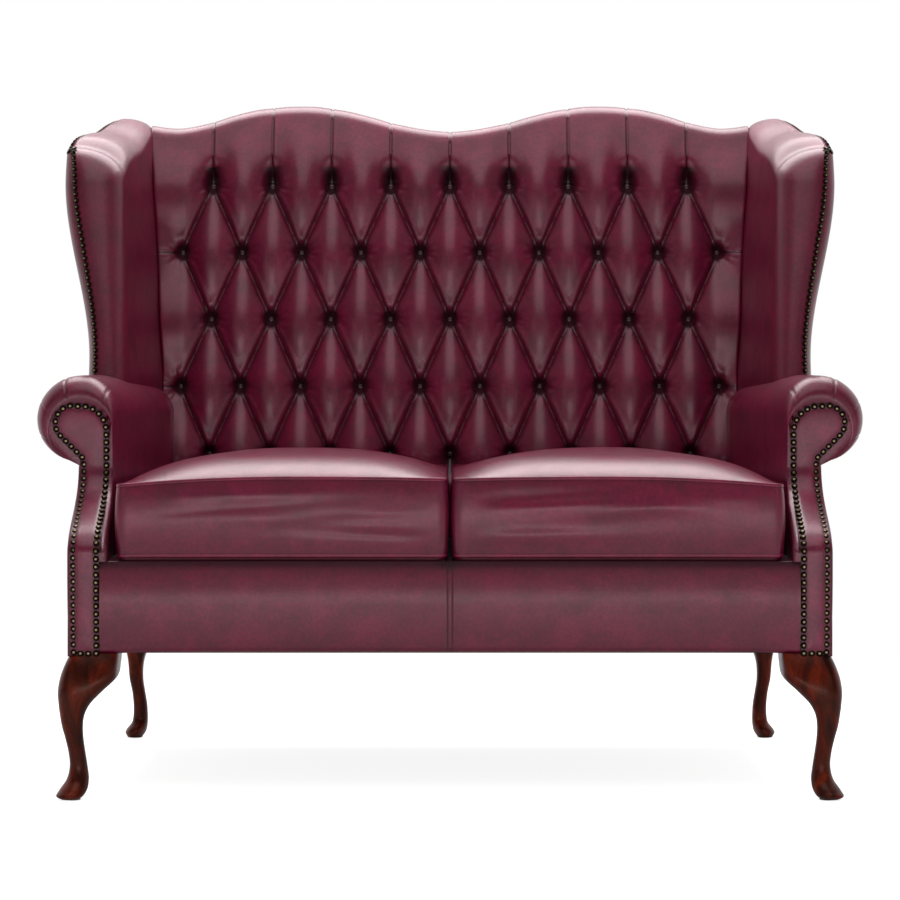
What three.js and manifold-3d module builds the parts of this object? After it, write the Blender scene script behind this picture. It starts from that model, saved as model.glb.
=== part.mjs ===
// High back settee: scroll arms, splayed wings, a deep-buttoned back and two loose seat cushions.
// Millimetres, +Z up, the front faces -Y, and the origin is on the floor under the middle of the settee.
// Left and right are as seen from the front, so the left side is at -X.
import * as THREE from "three";
import { mergeVertices } from "three/addons/utils/BufferGeometryUtils.js";
import Module from "manifold-3d";

const wasm = await Module();
wasm.setup();

// Overall sizes
const columnHalfWidth = 592;    // centre to the outside of an arm
const frontDepth = 400;         // centre to the front of the arm facings
const backHump = 1140;          // floor to the crest of the back
const legHeight = 228;          // floor to the underside of the frame
const gap = 0.3;                // clearance between pieces that touch
const overrun = 40;             // how far a cutter runs past what it cuts

// Seat frame
const railThickness = 27;
const railHeight = 122;
const borderThickness = 20;
const borderRise = 16;          // top of the rails to the top of the border
const borderBulge = 4;
const blockLeg = 100;
const blockHeight = 90;
const panelThickness = 8;
const postWidth = 40;
const postDepth = 40;
const postFront = 262;          // centre to the front of the back posts at the seat
const rakeDrop = 20;            // top of the rails down to where the back starts to lean
const rakeSlope = 0.0667;
const braceWidth = 45;
const springWire = 4;
const springCount = 6;
const springTurns = 15;
const springSwing = 24;
const springMargin = 178;       // side rail to the middle of the outermost spring
const deckThickness = 16.4;
const dustThickness = 2;
const dustInset = 12;

// Arms
const facingThickness = 12;
const facingWidth = 47;
const armPostDepth = 38;
const sweepBack = 138;          // how far the scroll head stands behind the column
const sweepRise = 35;           // top of the rails to where the front starts to sweep back
const sweepNeck = 11;           // underside of the arm roll down to where the sweep ends
const sweepFootPull = 45;
const sweepHeadPull = 70;
const slopeDropShare = 0.75;
const armRise = 150;            // seat deck to the underside of the arm roll
const rollRadius = 69;
const headRadius = 47;
const domeDepth = 32;
const armFootWidth = 59;        // outer face of the column to the arm's inner face, at the column's front
const armHeadWidth = 52;        // the same at the scroll head
const armBackWidth = 107;       // and at the back
const armTaper = 380;           // length over which the arm widens to the back
const lobeRadius = 33;
const lobeOut = 11;             // outer face of the column to the middle of the scroll's lobe
const lobeRise = 62;            // underside of the arm roll to the middle of the lobe
const crookRise = 49;           // and to the middle of the inner bend
const crookInset = 2;
const armRailWidth = 46;
const armRailHeight = 34;
const armRailRise = 31;         // underside of the arm roll to the underside of the arm rail
const armRailClear = 12;        // free length past each end of the arm rail

// Back
const sideDrop = 42;            // crest of the back to its top line at the sides
const dipDrop = 47;             // crest of the back to the dip in the middle
const humpShare = 0.486;        // where the crest stands, of the half width of the top
const crestEdge = 40;           // level end of the top line beside a wing
const backTopInset = 57;        // outer face of the column to the side of the back, at its top
const backArmInset = 89;        // the same at the arms
const buttonDrop = 148;         // crest of the back to the top row of buttons
const buttonLowRise = 145.7;    // seat deck to the lowest row
const buttonLowSet = 72;        // back posts forward to where the lowest row is tied down
const buttonLean = 100;         // how much further back the top row is tied down
const buttonRows = 5;
const buttonsAcross = 9;
const tuftRise = 42;
const pleatShare = 0.45;
const buttonRadius = 7.5;
const buttonHeight = 6;
const buttonSides = 4;
const pleatFillShare = 0.6;
const pleatFold = 22;
const rollReach = 77;
const rollRise = 60;
const rollSetback = 50;         // top row's seats back to the middle of the top roll
const topRailCover = 45;
const topRailHeight = 80;
const tuckRise = 29;            // seat deck to the underside of the tuck rail
const tuckRailHeight = 50;
const stileWidth = 50;
const webbingThickness = 3;
const webbingWidth = 60;
const webbingUprights = 7;
const webbingLevels = 3;
const padFootSet = 25;          // lowest row's seats forward to the foot of the padding

// Wings
const wingSink = 49;            // top of the arm down to the foot of the wing's padding
const wingForward = 332;        // back posts forward to the wing's front edge at the arm
const wingLean = 85;            // how far that edge leans back by the widest height
const wingWidestDrop = 147;     // crest of the back to the wing's widest height
const wingFlareRise = 21;       // top of the arm to where the wing starts to flare
const wingSplayFoot = 12;
const wingSplay = 67;
const wingFootWidth = 47;       // outer face of the column to the wing's inner face, at the arm
const wingTopWidth = 30;        // the same at the widest height
const wingNoseDrop = 95;        // crest of the back to the wing's front corner
const wingTopShares = [[0, 0.36], [0.12, 0.24], [0.35, 0.36], [0.6, 0.59], [0.8, 0.68], [0.93, 0.79], [1, 1]];
const wingRound = 38;
const wingPinchShare = 0.08;    // what is left of the thickness at the very top
const wingFrameThickness = 22;
const wingFrameCover = 34;

// Seat cushions
const cushionSetback = 2;       // front of the facings to the front of the cushions
const cushionBackGap = 8;       // cushions to the fullest part of the back's lowest pads
const cushionFrontGap = 16;     // cushion to arm at the scroll head
const cushionRearGap = 5;       // cushion to arm at the back
const cushionSplit = 1.5;       // half the space between the two cushions
const cushionFoot = 7.7;        // underside to the lower seam
const cushionBox = 118;         // lower seam to upper seam
const cushionCrown = 37;
const cushionSquare = 14;       // how square the outline is; 2 is round
const cushionSides = 36;
const cushionTuckShare = 0.04;
const cushionBulge = 4;
const cushionDraw = 4;

// Legs
const legTopSize = 83;
const glideRadius = 12;
const glideThickness = 4;
const boltRadius = 4;
const boltLength = 78;
const boltInLeg = 26;
const backLegTopSize = 72;
const backLegSet = 6;           // front of the back posts to the middle of a back leg's top

// Heights and places that follow from these
const frameHalfWidth = columnHalfWidth - panelThickness - gap;
const frameBottom = legHeight + gap;
const railTop = legHeight + railHeight;
const borderTop = railTop + borderRise;
const rakeStart = railTop - rakeDrop;
const deckBottom = railTop + 2 * gap + springWire;
const deckTop = deckBottom + deckThickness;
const padFoot = deckTop + gap;
const sweepStart = railTop + sweepRise;
const rollBottom = deckTop + armRise;
const sweepEnd = rollBottom - sweepNeck;
const armTop = rollBottom + 2 * rollRadius;
const lobeHeight = rollBottom + lobeRise;
const crookHeight = rollBottom + crookRise;
const armRailBottom = rollBottom + armRailRise;
const headPlane = -frontDepth + sweepBack;
const facingInner = columnHalfWidth - facingWidth;
const armPostInset = panelThickness + gap;
const armPostInner = facingInner + armPostInset;
const armInnerFoot = columnHalfWidth - armFootWidth;
const armInnerHead = columnHalfWidth - armHeadWidth;
const armInnerBack = columnHalfWidth - armBackWidth;
const frontRailFront = -frontDepth + borderThickness + gap;
const backTopSide = backHump - sideDrop;
const backDip = backHump - dipDrop;
const backTopHalfWidth = columnHalfWidth - backTopInset;
const backArmHalfWidth = columnHalfWidth - backArmInset;
const humpOffset = backTopHalfWidth * humpShare;
const buttonTopHeight = backHump - buttonDrop;
const buttonLowHeight = deckTop + buttonLowRise;
const buttonLowDepth = postFront - buttonLowSet;
const buttonTopDepth = buttonLowDepth + buttonLean;
const rollCentreY = buttonTopDepth + rollSetback;
const backPadFoot = buttonLowDepth - padFootSet;
const tuckRailBottom = deckTop + tuckRise;
const rowPitch = (buttonTopHeight - buttonLowHeight) / (buttonRows - 1);
const buttonPitch = 2 * backArmHalfWidth / (buttonsAcross + 0.5);
const wingBase = armTop - wingSink;
const wingFrontFoot = postFront - wingForward;
const wingWidest = backHump - wingWidestDrop;
const wingFlareStart = armTop + wingFlareRise;
const wingInnerFoot = columnHalfWidth - wingFootWidth;
const wingInnerTop = columnHalfWidth - wingTopWidth;
const cushionFront = frontDepth - cushionSetback;
const cushionRear = buttonLowDepth - tuftRise - cushionBackGap;
const cushionOuterFront = armInnerHead - cushionFrontGap;
const cushionOuterRear = armInnerBack - cushionRearGap;
const cushionSeamLow = padFoot + cushionFoot;
const cushionSeamTop = cushionSeamLow + cushionBox;
const backLegCentreY = postFront + backLegSet;

// Materials
const finish = (color, roughness, metalness = 0) => new THREE.MeshStandardMaterial({ color, roughness, metalness });
const leather = () => finish(0x5c1a30, 0.42);
const beech = () => finish(0xc79f6a, 0.7);
const mahogany = () => finish(0x340c04, 0.28);
const steel = () => finish(0x8a8c8f, 0.4, 1);
const cloth = () => finish(0x1b1b1d, 0.95);
const webbing = () => finish(0x8d7a55, 0.95);
const nylon = () => finish(0x2a2522, 0.6);

// Solids and meshes
function outward(geometry) {
  const p = geometry.attributes.position;
  const t = geometry.index;
  const [a, b, c] = [new THREE.Vector3(), new THREE.Vector3(), new THREE.Vector3()];
  let volume = 0;
  for (let i = 0; i < t.count; i += 3) {
    a.fromBufferAttribute(p, t.getX(i));
    b.fromBufferAttribute(p, t.getX(i + 1));
    c.fromBufferAttribute(p, t.getX(i + 2));
    volume += a.dot(b.cross(c));
  }
  if (volume < 0) {
    for (let i = 0; i < t.count; i += 3) {
      const first = t.getX(i);
      t.setX(i, t.getX(i + 2));
      t.setX(i + 2, first);
    }
  }
  return geometry;
}

function solid(geometry) {
  const bare = geometry.clone();
  for (const name of Object.keys(bare.attributes)) {
    if (name !== "position") bare.deleteAttribute(name);
  }
  const merged = outward(mergeVertices(bare));
  const triangles = [];
  for (let i = 0; i < merged.index.count; i += 3) {
    const corner = [merged.index.getX(i), merged.index.getX(i + 1), merged.index.getX(i + 2)];
    if (new Set(corner).size === 3) triangles.push(...corner);
  }
  const vertProperties = new Float32Array(merged.attributes.position.array);
  return new wasm.Manifold(new wasm.Mesh({ numProp: 3, vertProperties, triVerts: new Uint32Array(triangles) }));
}

function geometry(body) {
  const mesh = body.getMesh();
  const made = new THREE.BufferGeometry();
  made.setAttribute("position", new THREE.BufferAttribute(new Float32Array(mesh.vertProperties), 3));
  made.setIndex(new THREE.BufferAttribute(new Uint32Array(mesh.triVerts), 1));
  made.computeVertexNormals();
  return made;
}

const cut = (body, ...tools) => tools.reduce((left, tool) => left.subtract(tool), body);
const join = (...bodies) => bodies.reduce((whole, body) => whole.add(body));

// A closed skin through rings of equal count, each a list of [x, y, z], with a ladder of triangles at each end
function loft(rings, crossed = () => false) {
  const count = rings[0].length;
  const triangles = [];
  for (let i = 0; i + 1 < rings.length; i++) {
    for (let j = 0; j < count; j++) {
      const next = (j + 1) % count;
      const corners = [i * count + j, i * count + next, (i + 1) * count + next, (i + 1) * count + j];
      const order = crossed(i, j) ? [0, 1, 3, 1, 2, 3] : [0, 1, 2, 0, 2, 3];
      triangles.push(...order.map((k) => corners[k]));
    }
  }
  const last = (rings.length - 1) * count;
  for (let low = 0, high = count - 1; low + 1 < high; low++, high--) {
    for (const [a, b, c] of [[low, low + 1, high], [low + 1, high - 1, high]]) {
      triangles.push(c, b, a, last + a, last + b, last + c);
    }
  }
  const skin = new THREE.BufferGeometry();
  skin.setAttribute("position", new THREE.BufferAttribute(new Float32Array(rings.flat(2)), 3));
  skin.setIndex(triangles);
  return solid(skin);
}

// Flat outlines pushed along one axis between two places
const outline = (points) => new THREE.Shape(points.map(([u, v]) => new THREE.Vector2(u, v)));
function pushed(shape, from, to, u, v) {
  const made = new THREE.ExtrudeGeometry(shape, { depth: to - from, bevelEnabled: false, curveSegments: 8 });
  const w = new THREE.Vector3().crossVectors(u, v);
  const turn = new THREE.Matrix4().makeBasis(u, v, w);
  turn.setPosition(w.clone().multiplyScalar(w.x + w.y + w.z > 0 ? from : -to));
  return solid(made.applyMatrix4(turn));
}
const alongX = new THREE.Vector3(1, 0, 0);
const alongY = new THREE.Vector3(0, 1, 0);
const alongZ = new THREE.Vector3(0, 0, 1);
const pushX = (shape, from, to) => pushed(shape, from, to, alongY, alongZ);
const pushY = (shape, from, to) => pushed(shape, from, to, alongX, alongZ);
const pushZ = (shape, from, to) => pushed(shape, from, to, alongX, alongY);
function box(x0, x1, y0, y1, z0, z1) {
  return pushZ(outline([[x0, y0], [x1, y0], [x1, y1], [x0, y1]]), z0, z1);
}
function pin(radius, x, y, z0, z1, sides = 12) {
  const round = new THREE.CylinderGeometry(radius, radius, z1 - z0, sides).rotateX(Math.PI / 2);
  return solid(round.translate(x, y, (z0 + z1) / 2));
}

const mix = (a, b, t) => a + (b - a) * t;
const clamp = (t) => Math.min(1, Math.max(0, t));
const smooth = (t) => clamp(t) ** 2 * (3 - 2 * clamp(t));
const steps = (count, from = 0, to = 1) => Array.from({ length: count + 1 }, (_, i) => mix(from, to, i / count));
const rake = (z) => rakeSlope * Math.max(0, z - rakeStart);
const quarterTurn = Math.PI / 2;
// A share read from a table of [place, share] rows
function readShare(rowShares, place) {
  const next = Math.max(1, rowShares.findIndex(([at]) => at >= place));
  const [[from, low], [to, high]] = [rowShares[next - 1], rowShares[next]];
  return mix(low, high, (place - from) / (to - from));
}

// A board that leans with the posts, sawn to an outline seen from the front
function leanedBoard(front, back, shape) {
  const high = backHump + overrun;
  const side = outline([[front, 0], [front, rakeStart], [front + rake(high), high], [back + rake(high), high],
    [back, rakeStart], [back, 0]]);
  const board = pushX(side, -columnHalfWidth - overrun, columnHalfWidth + overrun);
  return board.intersect(pushY(shape, 0, back + rake(high)));
}
const plank = (x0, x1, z0, z1) => outline([[x0, z0], [x1, z0], [x1, z1], [x0, z1]]);

// The largest body left by a set of cuts, without the slivers beside it
const main = (body) => body.decompose().reduce((most, next) => (next.volume() > most.volume() ? next : most));

const group = new THREE.Group();
function piece(name, body, material) {
  const mesh = new THREE.Mesh(geometry(body), material);
  mesh.name = name;
  group.add(mesh);
}
function pair(name, body, material) {
  piece(`right_${name}`, body, material());
  piece(`left_${name}`, body.mirror([1, 0, 0]), material());
}

// Seat frame
const frontRailBack = frontRailFront + railThickness;
const armPostBack = -frontDepth + facingThickness + gap + armPostDepth;
const postTop = backTopSide - topRailCover;
const postInner = frameHalfWidth - postWidth;
const sideRailInner = armPostInner;
const sideRailTop = sweepStart - slopeDropShare * (facingThickness + gap + armPostDepth) - gap;
piece("front_rail",
  box(-armPostInner + gap, armPostInner - gap, frontRailFront, frontRailBack, frameBottom, railTop), beech());
piece("back_rail",
  box(-postInner + gap, postInner - gap, postFront, postFront + railThickness, frameBottom, railTop), beech());
pair("side_rail",
  box(sideRailInner, frameHalfWidth, armPostBack + gap, postFront - gap, frameBottom, sideRailTop), beech);
const braceTop = railTop - springWire;
piece("centre_seat_brace",
  box(-braceWidth / 2, braceWidth / 2, frontRailBack + gap, postFront - gap, frameBottom, braceTop), beech());

const postSide = outline([[postFront, frameBottom], [postFront + postDepth, frameBottom],
  [postFront + postDepth, rakeStart], [postFront + postDepth + rake(postTop), postTop],
  [postFront + rake(postTop), postTop], [postFront, rakeStart]]);
pair("back_post", pushX(postSide, postInner, frameHalfWidth), beech);

// Each leg's bolt stands midway between the rails' corner and the inner faces of the leg's top
const blockX = sideRailInner - gap;
const bolts = {
  front: { x: (blockX + columnHalfWidth - legTopSize) / 2, y: (frontRailBack + gap - frontDepth + legTopSize) / 2 },
  back: { x: (blockX + columnHalfWidth - backLegTopSize) / 2,
    y: (postFront - gap + backLegCentreY - backLegTopSize / 2) / 2 },
};
const boltSpan = [legHeight - boltInLeg, legHeight - boltInLeg + boltLength];
const boltBore = ({ x, y }) => pin(boltRadius + gap, x, y, boltSpan[0] - gap, boltSpan[1] + gap);
function cornerBlock(cornerX, cornerY, inward, at) {
  const [sideX, sideY] = [cornerX - blockLeg, cornerY + inward * blockLeg];
  const triangle = outline([[cornerX, cornerY], [sideX, cornerY], [cornerX, sideY]]);
  return cut(pushZ(triangle, frameBottom, frameBottom + blockHeight), boltBore(at));
}
pair("front_corner_block", cornerBlock(blockX, frontRailBack + gap, 1, bolts.front), beech);
pair("back_corner_block", cornerBlock(blockX, postFront - gap, -1, bolts.back), beech);
for (const [end, at] of Object.entries(bolts)) {
  pair(`${end}_leg_bolt`, pin(boltRadius, at.x, at.y, ...boltSpan), steel);
}

// Zigzag springs over the seat rails, held side by side by two tie wires
function wire(points) {
  const half = springWire / 2;
  const middle = railTop + gap + half;
  return loft(points.map(([x, y], i) => {
    const [a, b] = [points[Math.max(0, i - 1)], points[Math.min(points.length - 1, i + 1)]];
    const length = Math.hypot(b[0] - a[0], b[1] - a[1]);
    const [sx, sy] = [half * (b[1] - a[1]) / length, -half * (b[0] - a[0]) / length];
    return [[x - sx, y - sy, middle - half], [x + sx, y + sy, middle - half],
      [x + sx, y + sy, middle + half], [x - sx, y - sy, middle + half]];
  }));
}
const springFront = frontRailFront + railThickness / 4;
const springBack = postFront + railThickness * 3 / 4;
const springReach = sideRailInner - springMargin;
const springPlaces = steps(springCount - 1, -springReach, springReach);
const springs = springPlaces.map((x) => {
  const turns = steps(springTurns, springFront, springBack);
  return wire(turns.map((y, i) => [x + (i % 2 ? springSwing : -springSwing), y]));
});
const tieReach = springReach + springSwing;
const ties = steps(3, springFront, springBack).slice(1, -1).map((y) => wire([[-tieReach, y], [tieReach, y]]));
piece("seat_springs", join(...springs, ...ties), steel());

piece("seat_deck",
  box(-sideRailInner + gap, sideRailInner - gap, frontRailFront, postFront - gap, deckBottom, deckTop), cloth());

// Front legs: each station gives its height, its outer and inner faces and its squareness
const legFoot = glideThickness + gap;
const legStationShares = [
  [0, 0.157, 0.253, 2], [0.018, 0.21, 0.28, 2], [0.057, 0.157, 0.35, 2], [0.128, 0.012, 0.386, 2],
  [0.218, -0.072, 0.36, 2.1], [0.312, -0.048, 0.325, 2.2], [0.415, 0.012, 0.29, 2.3], [0.505, 0.084, 0.277, 2.4],
  [0.585, 0.12, 0.3, 2.5], [0.656, 0.145, 0.386, 2.8], [0.736, 0.18, 0.615, 3.2], [0.826, 0.175, 0.91, 4],
  [0.92, 0.108, 0.988, 6], [1, 0, 1, 8],
];
// A place on a ring between a circle (square 2) and a rounded square
const ringPoint = (angle, square) => {
  return [Math.cos(angle), Math.sin(angle)].map((side) => Math.sign(side) * Math.abs(side) ** (2 / square));
};
function legRing(x, y, halfX, halfY, z, square, sides = 16) {
  return steps(sides, 0, 2 * Math.PI).slice(0, -1).map((angle) => {
    const [u, v] = ringPoint(angle, square);
    return [x + halfX * u, y + halfY * v, z];
  });
}
const frontLeg = loft(legStationShares.map(([up, outer, inner, square]) => {
  const x = columnHalfWidth + legTopSize * (outer - inner) / 2;
  const half = legTopSize * (outer + inner) / 2;
  return legRing(x, columnHalfWidth - frontDepth - x, half, half, mix(legFoot, legHeight, up), square);
}));
pair("front_leg", cut(frontLeg, boltBore(bolts.front)), mahogany);
const frontFootX = columnHalfWidth + legTopSize * (legStationShares[0][1] - legStationShares[0][2]) / 2;
const frontFootY = columnHalfWidth - frontDepth - frontFootX;

// Back legs: height, outer and inner faces, how far the middle is swept back, and squareness
const backLegShares = [
  [0, -0.14, 0.5, 0.47, 2], [0.034, -0.1, 0.6, 0.5, 2], [0.06, -0.14, 0.64, 0.49, 2], [0.115, -0.28, 0.68, 0.45, 2.1],
  [0.185, -0.33, 0.69, 0.42, 2.2], [0.262, -0.335, 0.68, 0.39, 2.4], [0.37, -0.31, 0.635, 0.32, 2.6],
  [0.47, -0.26, 0.6, 0.24, 3], [0.62, -0.235, 0.635, 0.14, 3.5], [0.76, -0.17, 0.79, 0.06, 4.5],
  [0.88, -0.11, 0.97, 0.02, 6], [1, 0, 1, 0, 8],
];
const backLeg = loft(backLegShares.map(([up, outer, inner, swept, square]) => {
  const x = columnHalfWidth + backLegTopSize * (outer - inner) / 2;
  const half = backLegTopSize * (outer + inner) / 2;
  return legRing(x, backLegCentreY + backLegTopSize * swept, half, half, mix(legFoot, legHeight, up), square);
}));
pair("back_leg", cut(backLeg, boltBore(bolts.back)), mahogany);
const backFootX = columnHalfWidth + backLegTopSize * (backLegShares[0][1] - backLegShares[0][2]) / 2;
const backFootY = backLegCentreY + backLegTopSize * backLegShares[0][3];
pair("front_glide", pin(glideRadius, frontFootX, frontFootY, 0, glideThickness, 16), nylon);
pair("back_glide", pin(glideRadius, backFootX, backFootY, 0, glideThickness, 16), nylon);

// Dust cover under the rails, cut clear of the four legs
const dustX = frameHalfWidth - dustInset;
const dustFront = -frontDepth + borderThickness + dustInset;
const dustBack = postFront + postDepth - dustInset;
const legClear = columnHalfWidth - legTopSize - dustInset;
const backClear = columnHalfWidth - backLegTopSize - dustInset;
const frontClear = -frontDepth + legTopSize + dustInset;
const rearClear = backLegCentreY - backLegTopSize / 2 - dustInset;
piece("dust_cover", pushZ(outline([[-legClear, dustFront], [legClear, dustFront], [legClear, frontClear],
  [dustX, frontClear], [dustX, rearClear], [backClear, rearClear], [backClear, dustBack], [-backClear, dustBack],
  [-backClear, rearClear], [-dustX, rearClear], [-dustX, frontClear], [-legClear, frontClear]]),
  legHeight - dustThickness, legHeight), cloth());

// Front border: a padded strip whose face bulges and whose top edge is rolled
const borderShares = [
  [0, 0], [0.03, -0.5], [0.2, -0.95], [0.45, -1.2], [0.7, -1.05], [0.9, -0.85], [0.97, -0.6], [1, 0],
];
const borderBack = -frontDepth + borderThickness;
const borderRings = steps(12, -facingInner + gap, facingInner - gap).map((x) => {
  const lift = borderBulge * (1 - (x / facingInner) ** 4);
  const face = borderShares.map(([up, out]) =>
    [x, borderBack + out * borderThickness, mix(frameBottom + lift, borderTop, up)]);
  return [...face, ...face.map(([, , z]) => [x, borderBack, z]).reverse()];
});
piece("front_border", loft(borderRings), leather());

// Arm posts and facings: one swept side line, cut to the scroll outline
const sweep = new THREE.CubicBezierCurve(new THREE.Vector2(-frontDepth, sweepStart),
  new THREE.Vector2(-frontDepth, sweepStart + sweepFootPull),
  new THREE.Vector2(headPlane, sweepEnd - sweepHeadPull), new THREE.Vector2(headPlane, sweepEnd));
const sweepPoints = sweep.getPoints(12);
const lobeX = columnHalfWidth + lobeOut;
const crookX = columnHalfWidth - crookInset;
function scrollOutline(inset) {
  const shape = new THREE.Shape();
  const crook = crookX - facingInner - inset;
  shape.moveTo(facingInner + inset, frameBottom);
  shape.lineTo(facingInner + inset, crookHeight);
  shape.absarc(crookX, crookHeight, crook, Math.PI, quarterTurn * 1.1, true);
  shape.absarc(lobeX, lobeHeight, lobeRadius - inset, quarterTurn * 0.9, -quarterTurn * 0.4, true);
  shape.lineTo(columnHalfWidth - inset, rollBottom - panelThickness - inset);
  shape.lineTo(columnHalfWidth - inset, frameBottom);
  return shape;
}
function sweptBoard(front, back, inset) {
  const line = (shift) => [[-frontDepth + shift, frameBottom - overrun],
    ...sweepPoints.map(({ x, y }) => [x + shift, y - slopeDropShare * shift]),
    [headPlane + shift, lobeHeight + lobeRadius + overrun]];
  const side = outline([...line(front), ...line(back).reverse()]);
  const board = pushX(side, facingInner - overrun, columnHalfWidth + rollRadius);
  return board.intersect(pushY(scrollOutline(inset), -frontDepth - 2 * overrun, overrun));
}
const armPostFront = facingThickness + gap;
pair("arm_facing", sweptBoard(0, facingThickness, 0), leather);
pair("arm_post", sweptBoard(armPostFront, armPostFront + armPostDepth, armPostInset), beech);
const frontSpace = join(sweptBoard(-overrun, armPostFront, -gap),
  sweptBoard(facingThickness, armPostFront + armPostDepth + gap, armPostInset - gap));

const armRailTop = armRailBottom + armRailHeight;
const armRailInner = postInner + gap;
const armRailFront = headPlane + armPostFront + armPostDepth + gap;
const armRailBack = postFront + rake(armRailBottom) - gap;
const armRail = (grow, ends) => box(armRailInner - grow, armRailInner + armRailWidth + grow,
  armRailFront - ends, armRailBack + ends, armRailBottom - grow, armRailTop + grow);
pair("arm_rail", armRail(0, 0), beech);

// Outside arm: a flat panel behind the swept facing, up to the underside of the roll
const outsideBackFront = (z) => postFront + postDepth + rake(z) + gap;
const outsideArmLine = sweepPoints.map(({ x, y }) => [x + armPostFront, y - slopeDropShare * armPostFront]);
const outsideArmTop = rollBottom - gap;
const outsideArm = pushX(outline([[-frontDepth + armPostFront, frameBottom], ...outsideArmLine,
  [headPlane + armPostFront, outsideArmTop], [outsideBackFront(outsideArmTop) - gap, outsideArmTop],
  [outsideBackFront(rakeStart) - gap, rakeStart], [outsideBackFront(rakeStart) - gap, frameBottom]]),
  frameHalfWidth + gap, columnHalfWidth);
pair("outside_arm", cut(outsideArm, frontSpace), leather);

// Wings: where the surfaces run, for a share along from the back (0) to the front edge (1) and a height
const wingRear = (z) => postFront + postDepth + rake(z);
const wingEdge = (z) => wingFrontFoot + wingLean * (z - armTop) / (wingWidest - armTop);
const wingY = (along, z) => mix(wingRear(z), wingEdge(z), along);
const backHalfWidth = (z) => mix(backArmHalfWidth, backTopHalfWidth, clamp((z - armTop) / (backTopSide - armTop)));
function wingOuter(along, z) {
  const flare = smooth((z - wingFlareStart) / (wingWidest - wingFlareStart));
  return columnHalfWidth + mix(wingSplayFoot, wingSplay, flare) * along ** 1.2;
}
function wingInner(along, z) {
  const front = mix(wingInnerFoot, wingInnerTop, clamp((z - armTop) / (wingWidest - armTop)));
  return mix(backHalfWidth(z) + gap, front, along);
}
const wingTop = (along) => backHump - wingNoseDrop * readShare(wingTopShares, clamp(along));
function wingSheet({ from, to, start, end, bottom, cover }) {
  const places = steps(5);
  return loft(steps(8).map((up) => {
    const row = (depth) => places.map((place) => {
      const z = mix(bottom, wingTop(mix(start(wingWidest), end, place)) - cover, up);
      const along = mix(start(z), end, place);
      return [wingOuter(along, z) - depth, wingY(along, z), z];
    });
    return [...row(from), ...row(to).reverse()];
  }));
}
const wingLength = (z) => wingRear(z) - wingEdge(z);
const frameStart = (z) => (postDepth + gap) / wingLength(z);
const frameEndShare = 0.84;
const panelEndShare = 0.9;
const frameClearShare = 0.0075;
const panelClearShare = 0.01;
const frameDepth = panelThickness + gap;
const wingFrameSize = { from: frameDepth, to: frameDepth + wingFrameThickness, start: frameStart, end: frameEndShare,
  bottom: armRailTop + gap, cover: wingFrameCover };
const outsideWingSize = { from: 0, to: panelThickness, start: () => 0, end: panelEndShare, bottom: armTop,
  cover: wingRound / 2 };

// The padded wing: outer side, a round front edge and the inner side at each height, drawn in towards the top
const wingRowShares = [0, 0.12, 0.3, 0.55, 0.75];
const wingLevelShares = [0, 0.12, 0.3, 0.45, 0.58, 0.7, 0.8, 0.88, 0.93, 0.965, 0.99, 1];
const wingEdgeShares = [0.67, 0.33, 0, -0.33, -0.67, -0.89];
const wingBody = loft(wingLevelShares.map((up) => {
  const point = (along, across, push) => {
    const top = wingTop(along);
    const z = mix(wingBase, top, up);
    const left = (top - z) / wingRound;
    const full = mix(wingPinchShare, 1, Math.sqrt(1 - (1 - Math.min(1, left)) ** 2));
    const edge = wingRound / wingLength(z);
    const place = push === null ? along : 1 - edge + edge * push * full;
    const [outer, inner] = [wingOuter(place, z), wingInner(place, z)];
    return [(outer + inner) / 2 + (outer - inner) / 2 * across * full, wingY(place, z), z];
  };
  const arc = wingEdgeShares.map((share) => share * quarterTurn);
  return [...wingRowShares.map((along) => point(along, 1, null)),
    ...arc.map((angle) => point(1, Math.sin(angle), Math.cos(angle))),
    ...[...wingRowShares].reverse().map((along) => point(along, -1, null))];
}));

// Arm pads: the inner face, the rolled top and its domed front end in sections from front to back
const innerFace = (y) => (y < headPlane ? mix(armInnerHead, armInnerFoot, clamp((headPlane - y) / sweepBack))
  : mix(armInnerHead, armInnerBack, clamp((y - headPlane) / armTaper)));
function armSection(y, radius, limit = Infinity, grow = 0) {
  const middle = rollBottom + radius;
  const inner = innerFace(y) - grow;
  const reach = radius + grow;
  const shoulder = steps(3, 0, quarterTurn);
  const roll = steps(6, quarterTurn, -quarterTurn).slice(1);
  const points = [[inner, padFoot], [inner, mix(padFoot, middle, 0.5)],
    ...shoulder.map((a) => [columnHalfWidth - (columnHalfWidth - inner) * Math.cos(a), middle + reach * Math.sin(a)]),
    ...roll.map((a) => [columnHalfWidth + reach * Math.cos(a), middle + reach * Math.sin(a)]),
    [frameHalfWidth, rollBottom], [frameHalfWidth, padFoot]];
  const side = limit < Infinity ? frameHalfWidth : Infinity;
  return points.map(([x, z]) => [Math.min(x, side), y, Math.min(z, limit)]);
}
const domeShares = [[0, 0], [0.2, 0.55], [0.55, 0.87], [1, 1]];
function armBody(grow) {
  const strip = sweepPoints.slice(0, -1).map(({ x, y }) => armSection(x, headRadius, y, grow));
  const dome = domeShares.map(([back, out]) =>
    armSection(headPlane + domeDepth * back, mix(headRadius, rollRadius, out), Infinity, grow));
  const run = [headPlane + armTaper / 2, headPlane + armTaper, outsideBackFront(rollBottom) - 2 * gap]
    .map((y) => armSection(y, rollRadius, Infinity, grow));
  return loft([...strip, ...dome, ...run]);
}

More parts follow.
